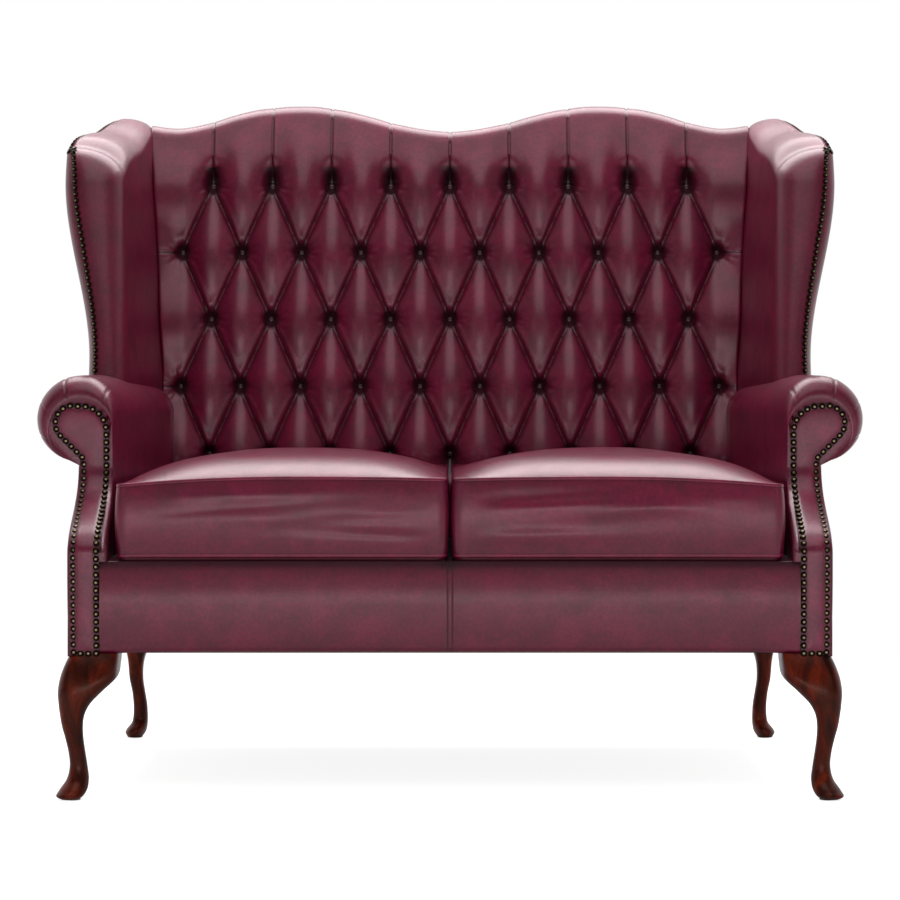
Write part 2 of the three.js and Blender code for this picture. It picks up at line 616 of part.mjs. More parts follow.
// The back frame's space, which every pad clears
const farBack = postFront + postDepth + overrun;
const frameFace = postFront - webbingThickness - 2 * gap;
const backSpace = leanedBoard(frameFace, farBack,
  plank(-frameHalfWidth - gap, frameHalfWidth + gap, 0, postTop + gap));
const restLow = buttonLowDepth - tuftRise - gap;
const restTop = buttonTopDepth - tuftRise - gap;
const backRest = pushX(outline([[restLow, 0], [restLow, buttonLowHeight], [restTop, buttonTopHeight],
  [buttonTopDepth, backHump + overrun], [farBack + 2 * overrun, backHump + overrun], [farBack + 2 * overrun, 0]]),
  -backArmHalfWidth - gap, backArmHalfWidth + gap);
const backCrown = pushX(outline([[restTop, buttonTopHeight], [farBack + 2 * overrun, buttonTopHeight],
  [farBack + 2 * overrun, backHump], [restTop, backHump]]), 0, backTopHalfWidth + gap);
const wingFrameSpace = wingSheet({ ...wingFrameSize, from: frameDepth - gap, to: frameDepth + wingFrameThickness + gap,
  start: (z) => frameStart(z) - frameClearShare, end: frameEndShare + frameClearShare, bottom: armRailTop - gap,
  cover: wingFrameCover - 4 * gap });
const armPad = cut(armBody(0), frontSpace, armRail(gap, armRailClear), backSpace, backRest, wingFrameSpace);
pair("arm_pad", main(armPad), leather);
const armSpace = armBody(gap);
pair("outside_wing", main(cut(wingSheet(outsideWingSize), armSpace)), leather);
const outsideWingSpace = wingSheet({ ...outsideWingSize, from: -overrun, to: panelThickness + gap,
  end: panelEndShare + panelClearShare, cover: outsideWingSize.cover - gap });
pair("wing_frame", main(cut(wingSheet(wingFrameSize), outsideWingSpace)), beech);
const wingPad = cut(wingBody, armSpace, wingFrameSpace, outsideWingSpace, backSpace, backRest, backCrown);
pair("wing_pad", main(wingPad), leather);

// Back frame: serpentine top rail, centre stile, tuck rail and woven webbing, all leaned with the posts
function backTop(x) {
  const away = Math.abs(x);
  const wave = (share) => (1 - Math.cos(Math.PI * share)) / 2;
  const sideRun = backTopHalfWidth - humpOffset - crestEdge;
  return away < humpOffset ? mix(backDip, backHump, wave(away / humpOffset))
    : mix(backHump, backTopSide, wave(clamp((away - humpOffset) / sideRun)));
}
const topLine = (reach, cover) => steps(16, reach, -reach).map((x) => [x, backTop(x) - cover]);
const betweenPosts = postInner - gap;
const topRailBottom = backDip - topRailCover - topRailHeight;
piece("top_rail", leanedBoard(postFront, postFront + postDepth, outline([[-betweenPosts, topRailBottom],
  [betweenPosts, topRailBottom], ...topLine(betweenPosts, topRailCover)])), beech());
const tuckRailTop = tuckRailBottom + tuckRailHeight;
piece("tuck_rail", leanedBoard(postFront, postFront + railThickness,
  plank(-betweenPosts, betweenPosts, tuckRailBottom, tuckRailTop)), beech());
piece("back_centre_stile", leanedBoard(postFront, postFront + railThickness,
  plank(-stileWidth / 2, stileWidth / 2, tuckRailTop + gap, topRailBottom - gap)), beech());

const web = (x0, x1, z0, z1) =>
  leanedBoard(postFront - webbingThickness - gap, postFront - gap, plank(x0, x1, z0, z1));
const uprights = steps(webbingUprights - 1, -betweenPosts + webbingWidth, betweenPosts - webbingWidth)
  .map((x) => web(x - webbingWidth / 2, x + webbingWidth / 2, tuckRailBottom, topRailBottom + topRailHeight / 2));
const levels = steps(webbingLevels + 1, tuckRailTop, topRailBottom).slice(1, -1)
  .map((z) => web(-betweenPosts, betweenPosts, z - webbingWidth / 2, z + webbingWidth / 2));
piece("back_webbing", join(...uprights, ...levels), webbing());

piece("outside_back", leanedBoard(postFront + postDepth + gap, postFront + postDepth + gap + panelThickness,
  outline([[-columnHalfWidth, frameBottom], [columnHalfWidth, frameBottom], ...topLine(columnHalfWidth, rollRise)])),
  leather());

// Deep-buttoned back. Buttons stand where two sets of slanting pleats cross: a place's share across each set is whole
// on a pleat, and the padding rises between them
function tuft(x, z) {
  const outermost = buttonPitch * buttonsAcross / 2;
  const away = Math.abs(x);
  const across = Math.min(away, outermost) / buttonPitch;
  const below = clamp((z - buttonLowHeight) / (buttonTopHeight - buttonLowHeight)) * (buttonRows - 1) / 2;
  const [one, two] = [across + below, across - below].map((share) => Math.abs(Math.sin(Math.PI * share)));
  const lattice = (1 - pleatShare) * Math.sqrt(one * two) + pleatShare * (one ** 2 + two ** 2 - (one * two) ** 2);
  const beyond = Math.max(0, z - buttonTopHeight, buttonLowHeight - z, away - outermost);
  return mix(lattice, Math.max(lattice, pleatFillShare), clamp(beyond / rowPitch * 2));
}
const restY = (z) =>
  mix(buttonLowDepth, buttonTopDepth, Math.max(0, z - buttonLowHeight) / (buttonTopHeight - buttonLowHeight));
const halfPitch = buttonPitch / 4;
const rollTurnShares = [0.97, 0.72, 0.5, 0.1, -0.28];
const buttonLevels = steps((buttonRows - 1) * 2, buttonLowHeight, buttonTopHeight);
function backSection(column) {
  const edge = column === -backColumns || column === backColumns;
  const place = (z) => (edge ? Math.sign(column) * backHalfWidth(z) : column * halfPitch);
  const field = buttonLevels.map((z) => [place(z), restY(z) - tuftRise * tuft(place(z), z), z]);
  const topX = edge ? Math.sign(column) * backTopHalfWidth : column * halfPitch;
  const crest = backTop(topX);
  const roll = rollTurnShares.map((turn, i) => {
    const angle = turn * Math.PI;
    const fold = (1 - tuft(topX, crest)) * pleatFold * (1 - i / rollTurnShares.length);
    const out = (rollReach - fold) * Math.cos(angle);
    return [topX, rollCentreY + out, crest - rollRise + (rollRise - fold) * Math.sin(angle)];
  });
  const front = [[place(padFoot), backPadFoot, padFoot], ...field, ...roll];
  const innerY = (z) => postFront + rake(z) + postDepth / 2;
  const lip = roll.at(-1)[2];
  return [...front, ...front.map(([x, , z]) => [x, innerY(Math.min(z, lip)), Math.min(z, lip)]).reverse()];
}
const backColumns = buttonsAcross * 2 + 1;
const columns = Array.from({ length: 2 * backColumns + 1 }, (_, i) => i - backColumns);
const rowsBelow = 1;
const pleatRuns = (i, j) => (columns[i] + 1 + j - rowsBelow) % 4 === 0;
const backBody = loft(columns.map(backSection), pleatRuns);
const railSpace = leanedBoard(frameFace, postFront + postDepth + 2 * gap + panelThickness,
  outline([[-betweenPosts, 0], [betweenPosts, 0], ...topLine(betweenPosts, topRailCover - gap)]));

// A covered button: a low dome whose axis follows the lean of the rows
const restTilt = Math.atan2(buttonTopDepth - buttonLowDepth, buttonTopHeight - buttonLowHeight);
const buttonProfile = [[0, -buttonHeight], [buttonRadius, -buttonHeight / 2], [0, buttonHeight]];
function button(x, z) {
  const dome = new THREE.LatheGeometry(buttonProfile.map(([r, up]) => new THREE.Vector2(r, up)), buttonSides);
  return solid(dome.rotateX(Math.PI / 2 + restTilt).translate(x, restY(z) - buttonHeight / 2, z));
}
const buttonPlaces = Array.from({ length: buttonRows }, (_, row) => {
  const count = buttonsAcross + row % 2;
  const z = buttonTopHeight - row * rowPitch;
  return Array.from({ length: count }, (_, k) => [(k - (count - 1) / 2) * buttonPitch, z]);
}).flat();
const backPad = cut(backBody, railSpace);
piece("buttoned_back", join(backPad, ...buttonPlaces.map(([x, z]) => button(x, z))), leather());

// Seat cushions: level outlines with drawn-in sides, boxed between two seams under a crown
const crownShares = [[0.05, 0.22], [0.14, 0.48], [0.28, 0.74], [0.48, 0.92], [0.78, 1]];
const cushionMiddleY = (cushionRear - cushionFront) / 2;
const cushionHalfY = (cushionRear + cushionFront) / 2;
function cushionRing(z, insetShare, bulge, square) {
  return steps(cushionSides, 0, 2 * Math.PI).slice(0, -1).map((angle) => {
    const [u, v] = ringPoint(angle, square);
    const y = cushionMiddleY + v * (cushionHalfY * (1 - insetShare) + bulge);
    const outer = mix(cushionOuterFront, cushionOuterRear, clamp((y + cushionFront) / (2 * cushionHalfY)));
    const [middle, half] = [(outer + cushionSplit) / 2, (outer - cushionSplit) / 2];
    const drawn = cushionDraw * Math.abs(u) ** 8 * (1 - v ** 2);
    return [middle + u * (half * (1 - insetShare) + bulge - drawn), y, z];
  });
}
const boxMiddle = (cushionSeamLow + cushionSeamTop) / 2;
const boxQuarter = (cushionSeamTop - cushionSeamLow) / 4;
const cushion = loft([
  cushionRing(padFoot, cushionTuckShare, -cushionBulge, cushionSquare / 2),
  cushionRing(cushionSeamLow, 0, -cushionBulge, cushionSquare),
  cushionRing(boxMiddle - boxQuarter, 0, -cushionBulge / 4, cushionSquare),
  cushionRing(boxMiddle, 0, 0, cushionSquare),
  cushionRing(boxMiddle + boxQuarter, 0, -cushionBulge / 4, cushionSquare),
  cushionRing(cushionSeamTop, 0, -cushionBulge, cushionSquare),
  ...crownShares.map(([inset, up]) =>
    cushionRing(cushionSeamTop + cushionCrown * up, inset, -cushionBulge, mix(cushionSquare, 2, inset))),
]);
pair("seat_cushion", cushion, leather);

export default group;
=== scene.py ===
# High back settee: the hides, timber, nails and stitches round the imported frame.
# Shapes are worked out in mm and turned to metres when they become meshes; +Z is up and the front faces -Y
import math
import bpy
import numpy as np
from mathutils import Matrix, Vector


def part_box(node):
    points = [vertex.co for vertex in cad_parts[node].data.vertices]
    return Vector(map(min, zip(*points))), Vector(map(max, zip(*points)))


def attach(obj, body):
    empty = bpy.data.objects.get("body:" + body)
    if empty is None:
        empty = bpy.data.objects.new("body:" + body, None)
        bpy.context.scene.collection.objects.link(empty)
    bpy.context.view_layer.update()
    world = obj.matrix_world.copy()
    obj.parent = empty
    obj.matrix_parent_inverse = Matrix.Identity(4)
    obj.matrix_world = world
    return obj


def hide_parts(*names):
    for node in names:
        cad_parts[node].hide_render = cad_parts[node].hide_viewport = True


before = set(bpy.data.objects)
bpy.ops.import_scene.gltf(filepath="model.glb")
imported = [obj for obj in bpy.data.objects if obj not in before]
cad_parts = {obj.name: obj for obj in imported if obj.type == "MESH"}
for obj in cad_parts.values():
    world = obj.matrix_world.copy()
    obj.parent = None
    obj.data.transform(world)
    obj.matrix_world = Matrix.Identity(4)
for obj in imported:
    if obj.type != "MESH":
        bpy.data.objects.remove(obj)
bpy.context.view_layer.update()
scene = bpy.context.scene
scene.view_settings.view_transform = "Standard"
toMetres = 0.001


def mixed(a, b, share):
    return a + (b - a) * share


def eased(share):  # 0 to 1 with level ends: 3s^2 - 2s^3
    share = np.clip(share, 0, 1)
    return share * share * (3 - 2 * share)


def domed(share):  # a quarter circle's rise: 0 at 0 with an upright start, 1 from 1 on
    return np.sqrt(1 - (1 - np.clip(share, 0, 1)) ** 2)


def bump(distance, width):  # a soft ridge, 1 on its line
    return np.exp(-(distance / width) ** 2)


# A smooth line through stations: cubic pieces whose slope at a station is the mean of its two neighbours'
def smoothLine(places, values, at):
    places, values, at = np.asarray(places, float), np.asarray(values, float), np.asarray(at, float)
    values = values.reshape(len(places), -1)
    slopes = np.diff(values, axis=0) / np.diff(places)[:, None]
    tangents = np.vstack([slopes[:1], (slopes[1:] + slopes[:-1]) / 2, slopes[-1:]])
    i = np.clip(np.searchsorted(places, at) - 1, 0, len(places) - 2)
    width = (places[i + 1] - places[i])[..., None]
    t = (at[..., None] - places[i][..., None]) / width
    return ((2 * t**3 - 3 * t**2 + 1) * values[i] + (t**3 - 2 * t**2 + t) * width * tangents[i]
            + (3 * t**2 - 2 * t**3) * values[i + 1] + (t**3 - t**2) * width * tangents[i + 1])


# The same line at even steps along its length
def evenSteps(points, pitch=None, count=None, closed=False):
    points = np.vstack([points, points[:1]]) if closed else np.asarray(points, float)
    run = np.concatenate([[0], np.cumsum(np.linalg.norm(np.diff(points, axis=0), axis=1))])
    if count is None:
        count = int(round(run[-1] / pitch)) + (0 if closed else 1)
    at = np.linspace(0, run[-1], count + 1)[:-1] if closed else np.linspace(0, run[-1], count)
    return np.stack([np.interp(at, run, points[:, k]) for k in range(points.shape[1])], axis=1)


# Slow waves of a few random directions, the same each run; about 1 at most
def ripple(x, y, z, size, seed, count=6):
    draw = np.random.default_rng(seed)
    total = np.zeros(np.broadcast(x, y, z).shape)
    for _ in range(count):
        kx, ky, kz = draw.normal(size=3) / size
        total = total + np.sin(kx * x + ky * y + kz * z + draw.uniform(0, 2 * math.pi))
    return total / count


# Meshes
def meshPiece(name, points, faces, material, wearAndPaintedShading=None, sharp=50):
    mesh = bpy.data.meshes.new(name)
    mesh.from_pydata(np.asarray(points, float) * toMetres, [], faces)
    mesh.validate()
    mesh.polygons.foreach_set("use_smooth", np.ones(len(mesh.polygons), bool))
    mesh.set_sharp_from_angle(angle=math.radians(sharp))
    mesh.materials.append(material)
    if wearAndPaintedShading is not None:
        mesh.attributes.new("wearAndPaintedShading", "FLOAT", "POINT").data.foreach_set("value", np.ravel(wearAndPaintedShading).astype(np.float32))
    piece = bpy.data.objects.new(name, mesh)
    scene.collection.objects.link(piece)
    return piece


# A closed skin from rings of points: rows of the array are rings, and each end is closed by a fan to its middle
def ringSkin(name, rings, material, wearAndPaintedShading=None, sharp=50, poles=True):
    rows, columns = rings.shape[:2]
    index = np.arange(rows * columns).reshape(rows, columns)
    a, b = index[:-1], np.roll(index, -1, axis=1)[:-1]
    c, d = np.roll(index, -1, axis=1)[1:], index[1:]
    quads = np.stack([a, b, c, d], axis=-1).reshape(-1, 4)
    points = rings.reshape(-1, 3)
    fans = []
    if poles:
        points = np.vstack([points, rings[0].mean(axis=0), rings[-1].mean(axis=0)])
        start, end = rows * columns, rows * columns + 1
        first, last = index[0], index[-1]
        fans = [np.stack([np.roll(first, -1), first, np.full(columns, start)], axis=-1),
                np.stack([last, np.roll(last, -1), np.full(columns, end)], axis=-1)]
        if wearAndPaintedShading is not None:
            wearAndPaintedShading = np.concatenate([np.ravel(wearAndPaintedShading), [np.mean(wearAndPaintedShading[0]), np.mean(wearAndPaintedShading[-1])]])
    p = points[quads]
    volume = np.einsum("ij,ij->i", p[:, 0], np.cross(p[:, 1], p[:, 2]) + np.cross(p[:, 2], p[:, 3])).sum()
    faces = [quads] + fans
    if volume < 0:
        faces = [f[:, ::-1] for f in faces]
    return meshPiece(name, points, [row for f in faces for row in f.tolist()], material, wearAndPaintedShading, sharp)


# Many copies of one small shape: each stands at a point with its own +Z along a direction
def scattered(name, shape, shapeFaces, places, directions, material, wearAndPaintedShading=None):
    along = directions / np.linalg.norm(directions, axis=1)[:, None]
    across = np.cross(along, np.where(np.abs(along[:, 2:]) < 0.9, [[0, 0, 1.0]], [[1.0, 0, 0]]))
    across /= np.linalg.norm(across, axis=1)[:, None]
    other = np.cross(along, across)
    points = (places[:, None] + shape[None, :, 0:1] * across[:, None] + shape[None, :, 1:2] * other[:, None]
              + shape[None, :, 2:3] * along[:, None])
    faces = [[k + i * len(shape) for k in face] for i in range(len(places)) for face in shapeFaces]
    wearAndShadingAll = None if wearAndPaintedShading is None else np.full(len(places) * len(shape), wearAndPaintedShading)
    return meshPiece(name, points.reshape(-1, 3), faces, material, wearAndShadingAll)


# A turned shape from a profile of [radius, height], closed at a tip on the axis
def turned(profile, sides):
    angles = np.linspace(0, 2 * math.pi, sides, endpoint=False)
    ring = np.stack([np.cos(angles), np.sin(angles)], axis=1)
    rings = [np.hstack([ring * r, np.full((sides, 1), h)]) for r, h in profile[:-1]]
    points = np.vstack(rings + [[[0, 0, profile[-1][1]]]])
    faces = [[i * sides + j, i * sides + (j + 1) % sides, (i + 1) * sides + (j + 1) % sides, (i + 1) * sides + j]
             for i in range(len(rings) - 1) for j in range(sides)]
    faces += [[(len(rings) - 1) * sides + j, (len(rings) - 1) * sides + (j + 1) % sides, len(points) - 1]
              for j in range(sides)]
    faces.append(list(range(sides))[::-1])
    return points, faces


# Materials
def srgb(code):  # a hex colour as shown on a screen, turned to linear light
    parts = np.array([int(code[i:i + 2], 16) for i in (1, 3, 5)]) / 255
    linear = np.where(parts <= 0.04045, parts / 12.92, ((parts + 0.055) / 1.055) ** 2.4)
    return (*linear.tolist(), 1.0)


def perMetre(sizeMm):  # a texture's scale for a feature of that many mm
    return 1000 / sizeMm


def addNode(tree, kind, values=None, links=None, **settings):
    made = tree.nodes.new(kind)
    for key, value in settings.items():
        setattr(made, key, value)
    for key, value in (values or {}).items():
        made.inputs[key].default_value = value
    for key, socket in (links or {}).items():
        tree.links.new(socket, made.inputs[key])
    return made


def newMaterial(name):
    made = bpy.data.materials.new(name)
    made.use_nodes = True
    tree = made.node_tree
    tree.nodes.clear()
    place = addNode(tree, "ShaderNodeTexCoord").outputs["Object"]
    output = addNode(tree, "ShaderNodeOutputMaterial")
    return made, tree, place, output


def addRamp(tree, source, stops):
    ramp = addNode(tree, "ShaderNodeValToRGB", links={"Fac": source})
    points = ramp.color_ramp.elements
    while len(points) < len(stops):
        points.new(0.5)
    for point, (at, colour) in zip(points, stops):
        point.position = at
        point.color = colour if len(colour) == 4 else (*colour, 1)
    return ramp.outputs["Color"]


# Aniline-dyed cowhide, rubbed by hand after it is on the frame: oxblood, redder where it is rubbed, under a thin wax
# that gives broad greyish highlights. Its nearly black deep colour is painted shade, put in folds, pleats, button wells
# and recesses
leather = {"deep": "#170309", "body": "#560a24", "rubbed": "#7a1038", "cloud": "#360718",
           "cloudMm": 46, "speckMm": 5.5, "grainMm": 1.5, "creaseMm": 11, "roughness": 0.33}


def makeLeather():
    made, tree, place, output = newMaterial("oxbloodAnilineHide")
    wornAndShaded = addNode(tree, "ShaderNodeAttribute", attribute_name="wearAndPaintedShading").outputs["Fac"]
    cloud = addNode(tree, "ShaderNodeTexNoise", {"Scale": perMetre(leather["cloudMm"]), "Detail": 5.0, "Roughness": 0.62},
                    {"Vector": place}).outputs["Fac"]
    speck = addNode(tree, "ShaderNodeTexNoise", {"Scale": perMetre(leather["speckMm"]), "Detail": 3.0},
                    {"Vector": place}).outputs["Fac"]
    # each point's value sets the colour: low gives the deep colour as painted shade, 0.3 the plain hide, and high the
    # rubbed red, which also carries painted highlights
    byWearAndShading = addRamp(tree, wornAndShaded, [(0.0, srgb(leather["deep"])), (0.3, srgb(leather["body"])), (1.0, srgb(leather["rubbed"]))])
    patches = addRamp(tree, cloud, [(0.36, (0, 0, 0)), (0.66, (1, 1, 1))])
    mottled = addNode(tree, "ShaderNodeMix", {"B": srgb(leather["cloud"])}, {"A": byWearAndShading, "Factor": addNode(
        tree, "ShaderNodeMath", {1: 0.5}, {0: patches}, operation="MULTIPLY").outputs[0]}, data_type="RGBA")
    dots = addRamp(tree, speck, [(0.34, (0.78, 0.78, 0.78)), (0.7, (1.12, 1.12, 1.12))])
    colour = addNode(tree, "ShaderNodeMix", {"Factor": 1.0}, {"A": mottled.outputs["Result"], "B": dots},
                     data_type="RGBA", blend_type="MULTIPLY").outputs["Result"]
    grain = addNode(tree, "ShaderNodeTexVoronoi", {"Scale": perMetre(leather["grainMm"]), "Randomness": 1.0},
                    {"Vector": place}, feature="DISTANCE_TO_EDGE").outputs["Distance"]
    pebble = addRamp(tree, grain, [(0.0, (0, 0, 0)), (0.22, (1, 1, 1))])
    slow = addNode(tree, "ShaderNodeTexNoise", {"Scale": perMetre(leather["creaseMm"]), "Detail": 4.0},
                   {"Vector": place}).outputs["Fac"]
    coarse = addNode(tree, "ShaderNodeBump", {"Strength": 0.16, "Distance": 0.0012}, {"Height": slow})
    fine = addNode(tree, "ShaderNodeBump", {"Strength": 0.16, "Distance": 0.0003},
                   {"Height": pebble, "Normal": coarse.outputs["Normal"]})
    rough = addNode(tree, "ShaderNodeMapRange", {"To Min": leather["roughness"] - 0.07, "To Max": leather["roughness"] + 0.09},
                    {"Value": cloud}).outputs["Result"]
    shader = addNode(tree, "ShaderNodeBsdfPrincipled", {"IOR": 1.5, "Specular Tint": srgb("#ffdfe8"), "Coat Weight": 0.25, "Coat Roughness": 0.26},
                     {"Base Color": colour, "Roughness": rough, "Normal": fine.outputs["Normal"]})
    tree.links.new(shader.outputs["BSDF"], output.inputs["Surface"])
    return made


# Solid brass, stamped and aged with acid: dull olive brown, with a brighter crown that is partly rubbed and partly a
# painted highlight
brass = {"dark": "#1b140b", "bright": "#8d7f65", "patinaMm": 2.6, "roughness": 0.36}


def makeBrass():
    made, tree, place, output = newMaterial("agedBrass")
    patina = addNode(tree, "ShaderNodeTexNoise", {"Scale": perMetre(brass["patinaMm"]), "Detail": 3.0}, {"Vector": place})
    wornAndShaded = addNode(tree, "ShaderNodeAttribute", attribute_name="wearAndPaintedShading").outputs["Fac"]
    shade = addNode(tree, "ShaderNodeMath", {1: 0.25}, {0: patina.outputs["Fac"]}, operation="MULTIPLY").outputs[0]
    crown = addNode(tree, "ShaderNodeMath", {}, {0: wornAndShaded, 1: shade}, operation="SUBTRACT").outputs[0]
    # brighter towards each nail's middle: a rubbed crown and a painted highlight
    colour = addRamp(tree, crown, [(0.05, srgb(brass["dark"])), (0.7, srgb(brass["bright"]))])
    shader = addNode(tree, "ShaderNodeBsdfPrincipled", {"Metallic": 1.0, "Roughness": brass["roughness"]},
                     {"Base Color": colour})
    tree.links.new(shader.outputs["BSDF"], output.inputs["Surface"])
    return made


# Mahogany, carved and finished in a dark red-brown lacquer: long fine pores and slow flame under a clear gloss
mahogany = {"dark": "#190200", "mid": "#460d02", "light": "#7a2208", "flameMm": 26, "poreMm": 1.1, "stretch": 0.07}


def makeMahogany():
    made, tree, place, output = newMaterial("lacqueredMahogany")
    lean = addNode(tree, "ShaderNodeMapping", {"Scale": (1, 1, mahogany["stretch"])}, {"Vector": place}).outputs[0]
    flame = addNode(tree, "ShaderNodeTexNoise", {"Scale": perMetre(mahogany["flameMm"]), "Detail": 6.0, "Distortion": 0.8},
                    {"Vector": addNode(tree, "ShaderNodeMapping", {"Scale": (1, 1, 0.22)}, {"Vector": place}).outputs[0]})
    pores = addNode(tree, "ShaderNodeTexNoise", {"Scale": perMetre(mahogany["poreMm"]), "Detail": 2.0}, {"Vector": lean})
    wood = addRamp(tree, flame.outputs["Fac"], [(0.3, srgb(mahogany["dark"])), (0.5, srgb(mahogany["mid"])),
                                                (0.72, srgb(mahogany["light"]))])
    streak = addRamp(tree, pores.outputs["Fac"], [(0.36, (0.45, 0.45, 0.45)), (0.52, (1, 1, 1))])
    colour = addNode(tree, "ShaderNodeMix", {"Factor": 0.8}, {"A": wood, "B": streak}, data_type="RGBA",
                     blend_type="MULTIPLY").outputs["Result"]
    relief = addNode(tree, "ShaderNodeBump", {"Strength": 0.08, "Distance": 0.0002}, {"Height": pores.outputs["Fac"]})
    shader = addNode(tree, "ShaderNodeBsdfPrincipled", {"Roughness": 0.36, "Specular IOR Level": 0.26, "Specular Tint": srgb("#ffbea6"), "Coat Weight": 0.12, "Coat Roughness": 0.22},
                     {"Base Color": colour, "Normal": relief.outputs["Normal"]})
    tree.links.new(shader.outputs["BSDF"], output.inputs["Surface"])
    return made


# Beech, sawn and left raw: pale tan with short darker flecks along each board
def makeBeech(axis):
    made, tree, place, output = newMaterial("sawnBeech" + "XYZ"[axis])
    scale = [1.0, 1.0, 1.0]
    scale[axis] = 0.1
    along = addNode(tree, "ShaderNodeMapping", {"Scale": scale}, {"Vector": place}).outputs[0]
    fleck = addNode(tree, "ShaderNodeTexNoise", {"Scale": perMetre(3), "Detail": 4.0}, {"Vector": along}).outputs["Fac"]
    band = addNode(tree, "ShaderNodeTexNoise", {"Scale": perMetre(24), "Detail": 2.0}, {"Vector": along}).outputs["Fac"]
    both = addNode(tree, "ShaderNodeMath", {}, {0: fleck, 1: band}, operation="MULTIPLY").outputs[0]
    colour = addRamp(tree, both, [(0.14, srgb("#8f6a3e")), (0.27, srgb("#c79f6a")), (0.42, srgb("#d9b787"))])
    relief = addNode(tree, "ShaderNodeBump", {"Strength": 0.3, "Distance": 0.0004}, {"Height": fleck})
    shader = addNode(tree, "ShaderNodeBsdfPrincipled", {"Roughness": 0.72}, {"Base Color": colour, "Normal": relief.outputs[0]})
    tree.links.new(shader.outputs["BSDF"], output.inputs["Surface"])
    return made


# Cloths: two crossed sets of threads, raised and dipped in turn
def makeCloth(name, dark, light, threadMm, roughness, depth):
    made, tree, place, output = newMaterial(name)
    waves = [addNode(tree, "ShaderNodeTexWave", {"Scale": perMetre(threadMm) / 20, "Distortion": 0.4, "Detail": 1.0},
                     {"Vector": place}, bands_direction=axis).outputs["Fac"] for axis in ("X", "Y", "Z")]
    first = addNode(tree, "ShaderNodeMath", {}, {0: waves[0], 1: waves[1]}, operation="MULTIPLY").outputs[0]
    weave = addNode(tree, "ShaderNodeMath", {}, {0: first, 1: waves[2]}, operation="ADD").outputs[0]
    colour = addRamp(tree, weave, [(0.1, srgb(dark)), (1.0, srgb(light))])
    relief = addNode(tree, "ShaderNodeBump", {"Strength": 0.5, "Distance": depth}, {"Height": weave})
    shader = addNode(tree, "ShaderNodeBsdfPrincipled", {"Roughness": roughness, "Sheen Weight": 0.2},
                     {"Base Color": colour, "Normal": relief.outputs[0]})
    tree.links.new(shader.outputs["BSDF"], output.inputs["Surface"])
    return made


# Drawn spring steel: bright grey with faint die lines
def makeSteel():
    made, tree, place, output = newMaterial("drawnSteel")
    lines = addNode(tree, "ShaderNodeTexNoise", {"Scale": perMetre(0.9), "Detail": 2.0}, {"Vector": place}).outputs["Fac"]
    rough = addNode(tree, "ShaderNodeMapRange", {"To Min": 0.26, "To Max": 0.44}, {"Value": lines}).outputs["Result"]
    colour = addRamp(tree, lines, [(0.3, srgb("#75777a")), (0.7, srgb("#a2a4a7"))])
    shader = addNode(tree, "ShaderNodeBsdfPrincipled", {"Metallic": 1.0}, {"Base Color": colour, "Roughness": rough})
    tree.links.new(shader.outputs["BSDF"], output.inputs["Surface"])
    return made


# Moulded nylon: dull dark brown, scuffed under the feet
def makeNylon():
    made, tree, place, output = newMaterial("mouldedNylon")
    scuff = addNode(tree, "ShaderNodeTexNoise", {"Scale": perMetre(4), "Detail": 4.0}, {"Vector": place}).outputs["Fac"]
    colour = addRamp(tree, scuff, [(0.35, srgb("#241f1c")), (0.7, srgb("#3a332e"))])
    shader = addNode(tree, "ShaderNodeBsdfPrincipled", {"Roughness": 0.55, "IOR": 1.53}, {"Base Color": colour})
    tree.links.new(shader.outputs["BSDF"], output.inputs["Surface"])
    return made


hide, nailBrass, legWood = makeLeather(), makeBrass(), makeMahogany()
print("materials made")


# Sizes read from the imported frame, in mm
def mmBox(node):
    return [np.array(corner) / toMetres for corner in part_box(node)]


armLow, armHigh = mmBox("right_outside_arm")
facingLow, facingHigh = mmBox("right_arm_facing")
padLow, padHigh = mmBox("right_arm_pad")
settee = {
    "columnX": armHigh[0],           # middle to the outside of an arm
    "baseZ": armLow[2],              # underside of the leather
    "frontY": facingLow[1],
    "deckZ": padLow[2],              # what the pads and cushions stand on
    "rollRadius": padHigh[0] - armHigh[0],
    "postY": mmBox("right_back_post")[0][1],
    "postDepth": 40, "rakeStart": 330, "rakeSlope": 0.0667,
}
settee["rollBottom"] = padHigh[2] - 2 * settee["rollRadius"]
column, base, front = settee["columnX"], settee["baseZ"], settee["frontY"]


def rake(z):
    return settee["rakeSlope"] * np.maximum(0, z - settee["rakeStart"])


# Camera and light
camera = {"distance": 4700, "height": 700, "focalPx": 2775, "framePx": 900, "horizonPx": 350, "sensorMm": 36}
lens = bpy.data.cameras.new("camera")
lens.sensor_width = camera["sensorMm"]
lens.lens = camera["focalPx"] / camera["framePx"] * camera["sensorMm"]
viewer = bpy.data.objects.new("camera", lens)
viewer.location = (0, -camera["distance"] * toMetres, camera["height"] * toMetres)
tilt = math.atan((camera["framePx"] / 2 - camera["horizonPx"]) / camera["focalPx"])
viewer.rotation_euler = (math.pi / 2 - tilt, 0, 0)
scene.collection.objects.link(viewer)
scene.camera = viewer

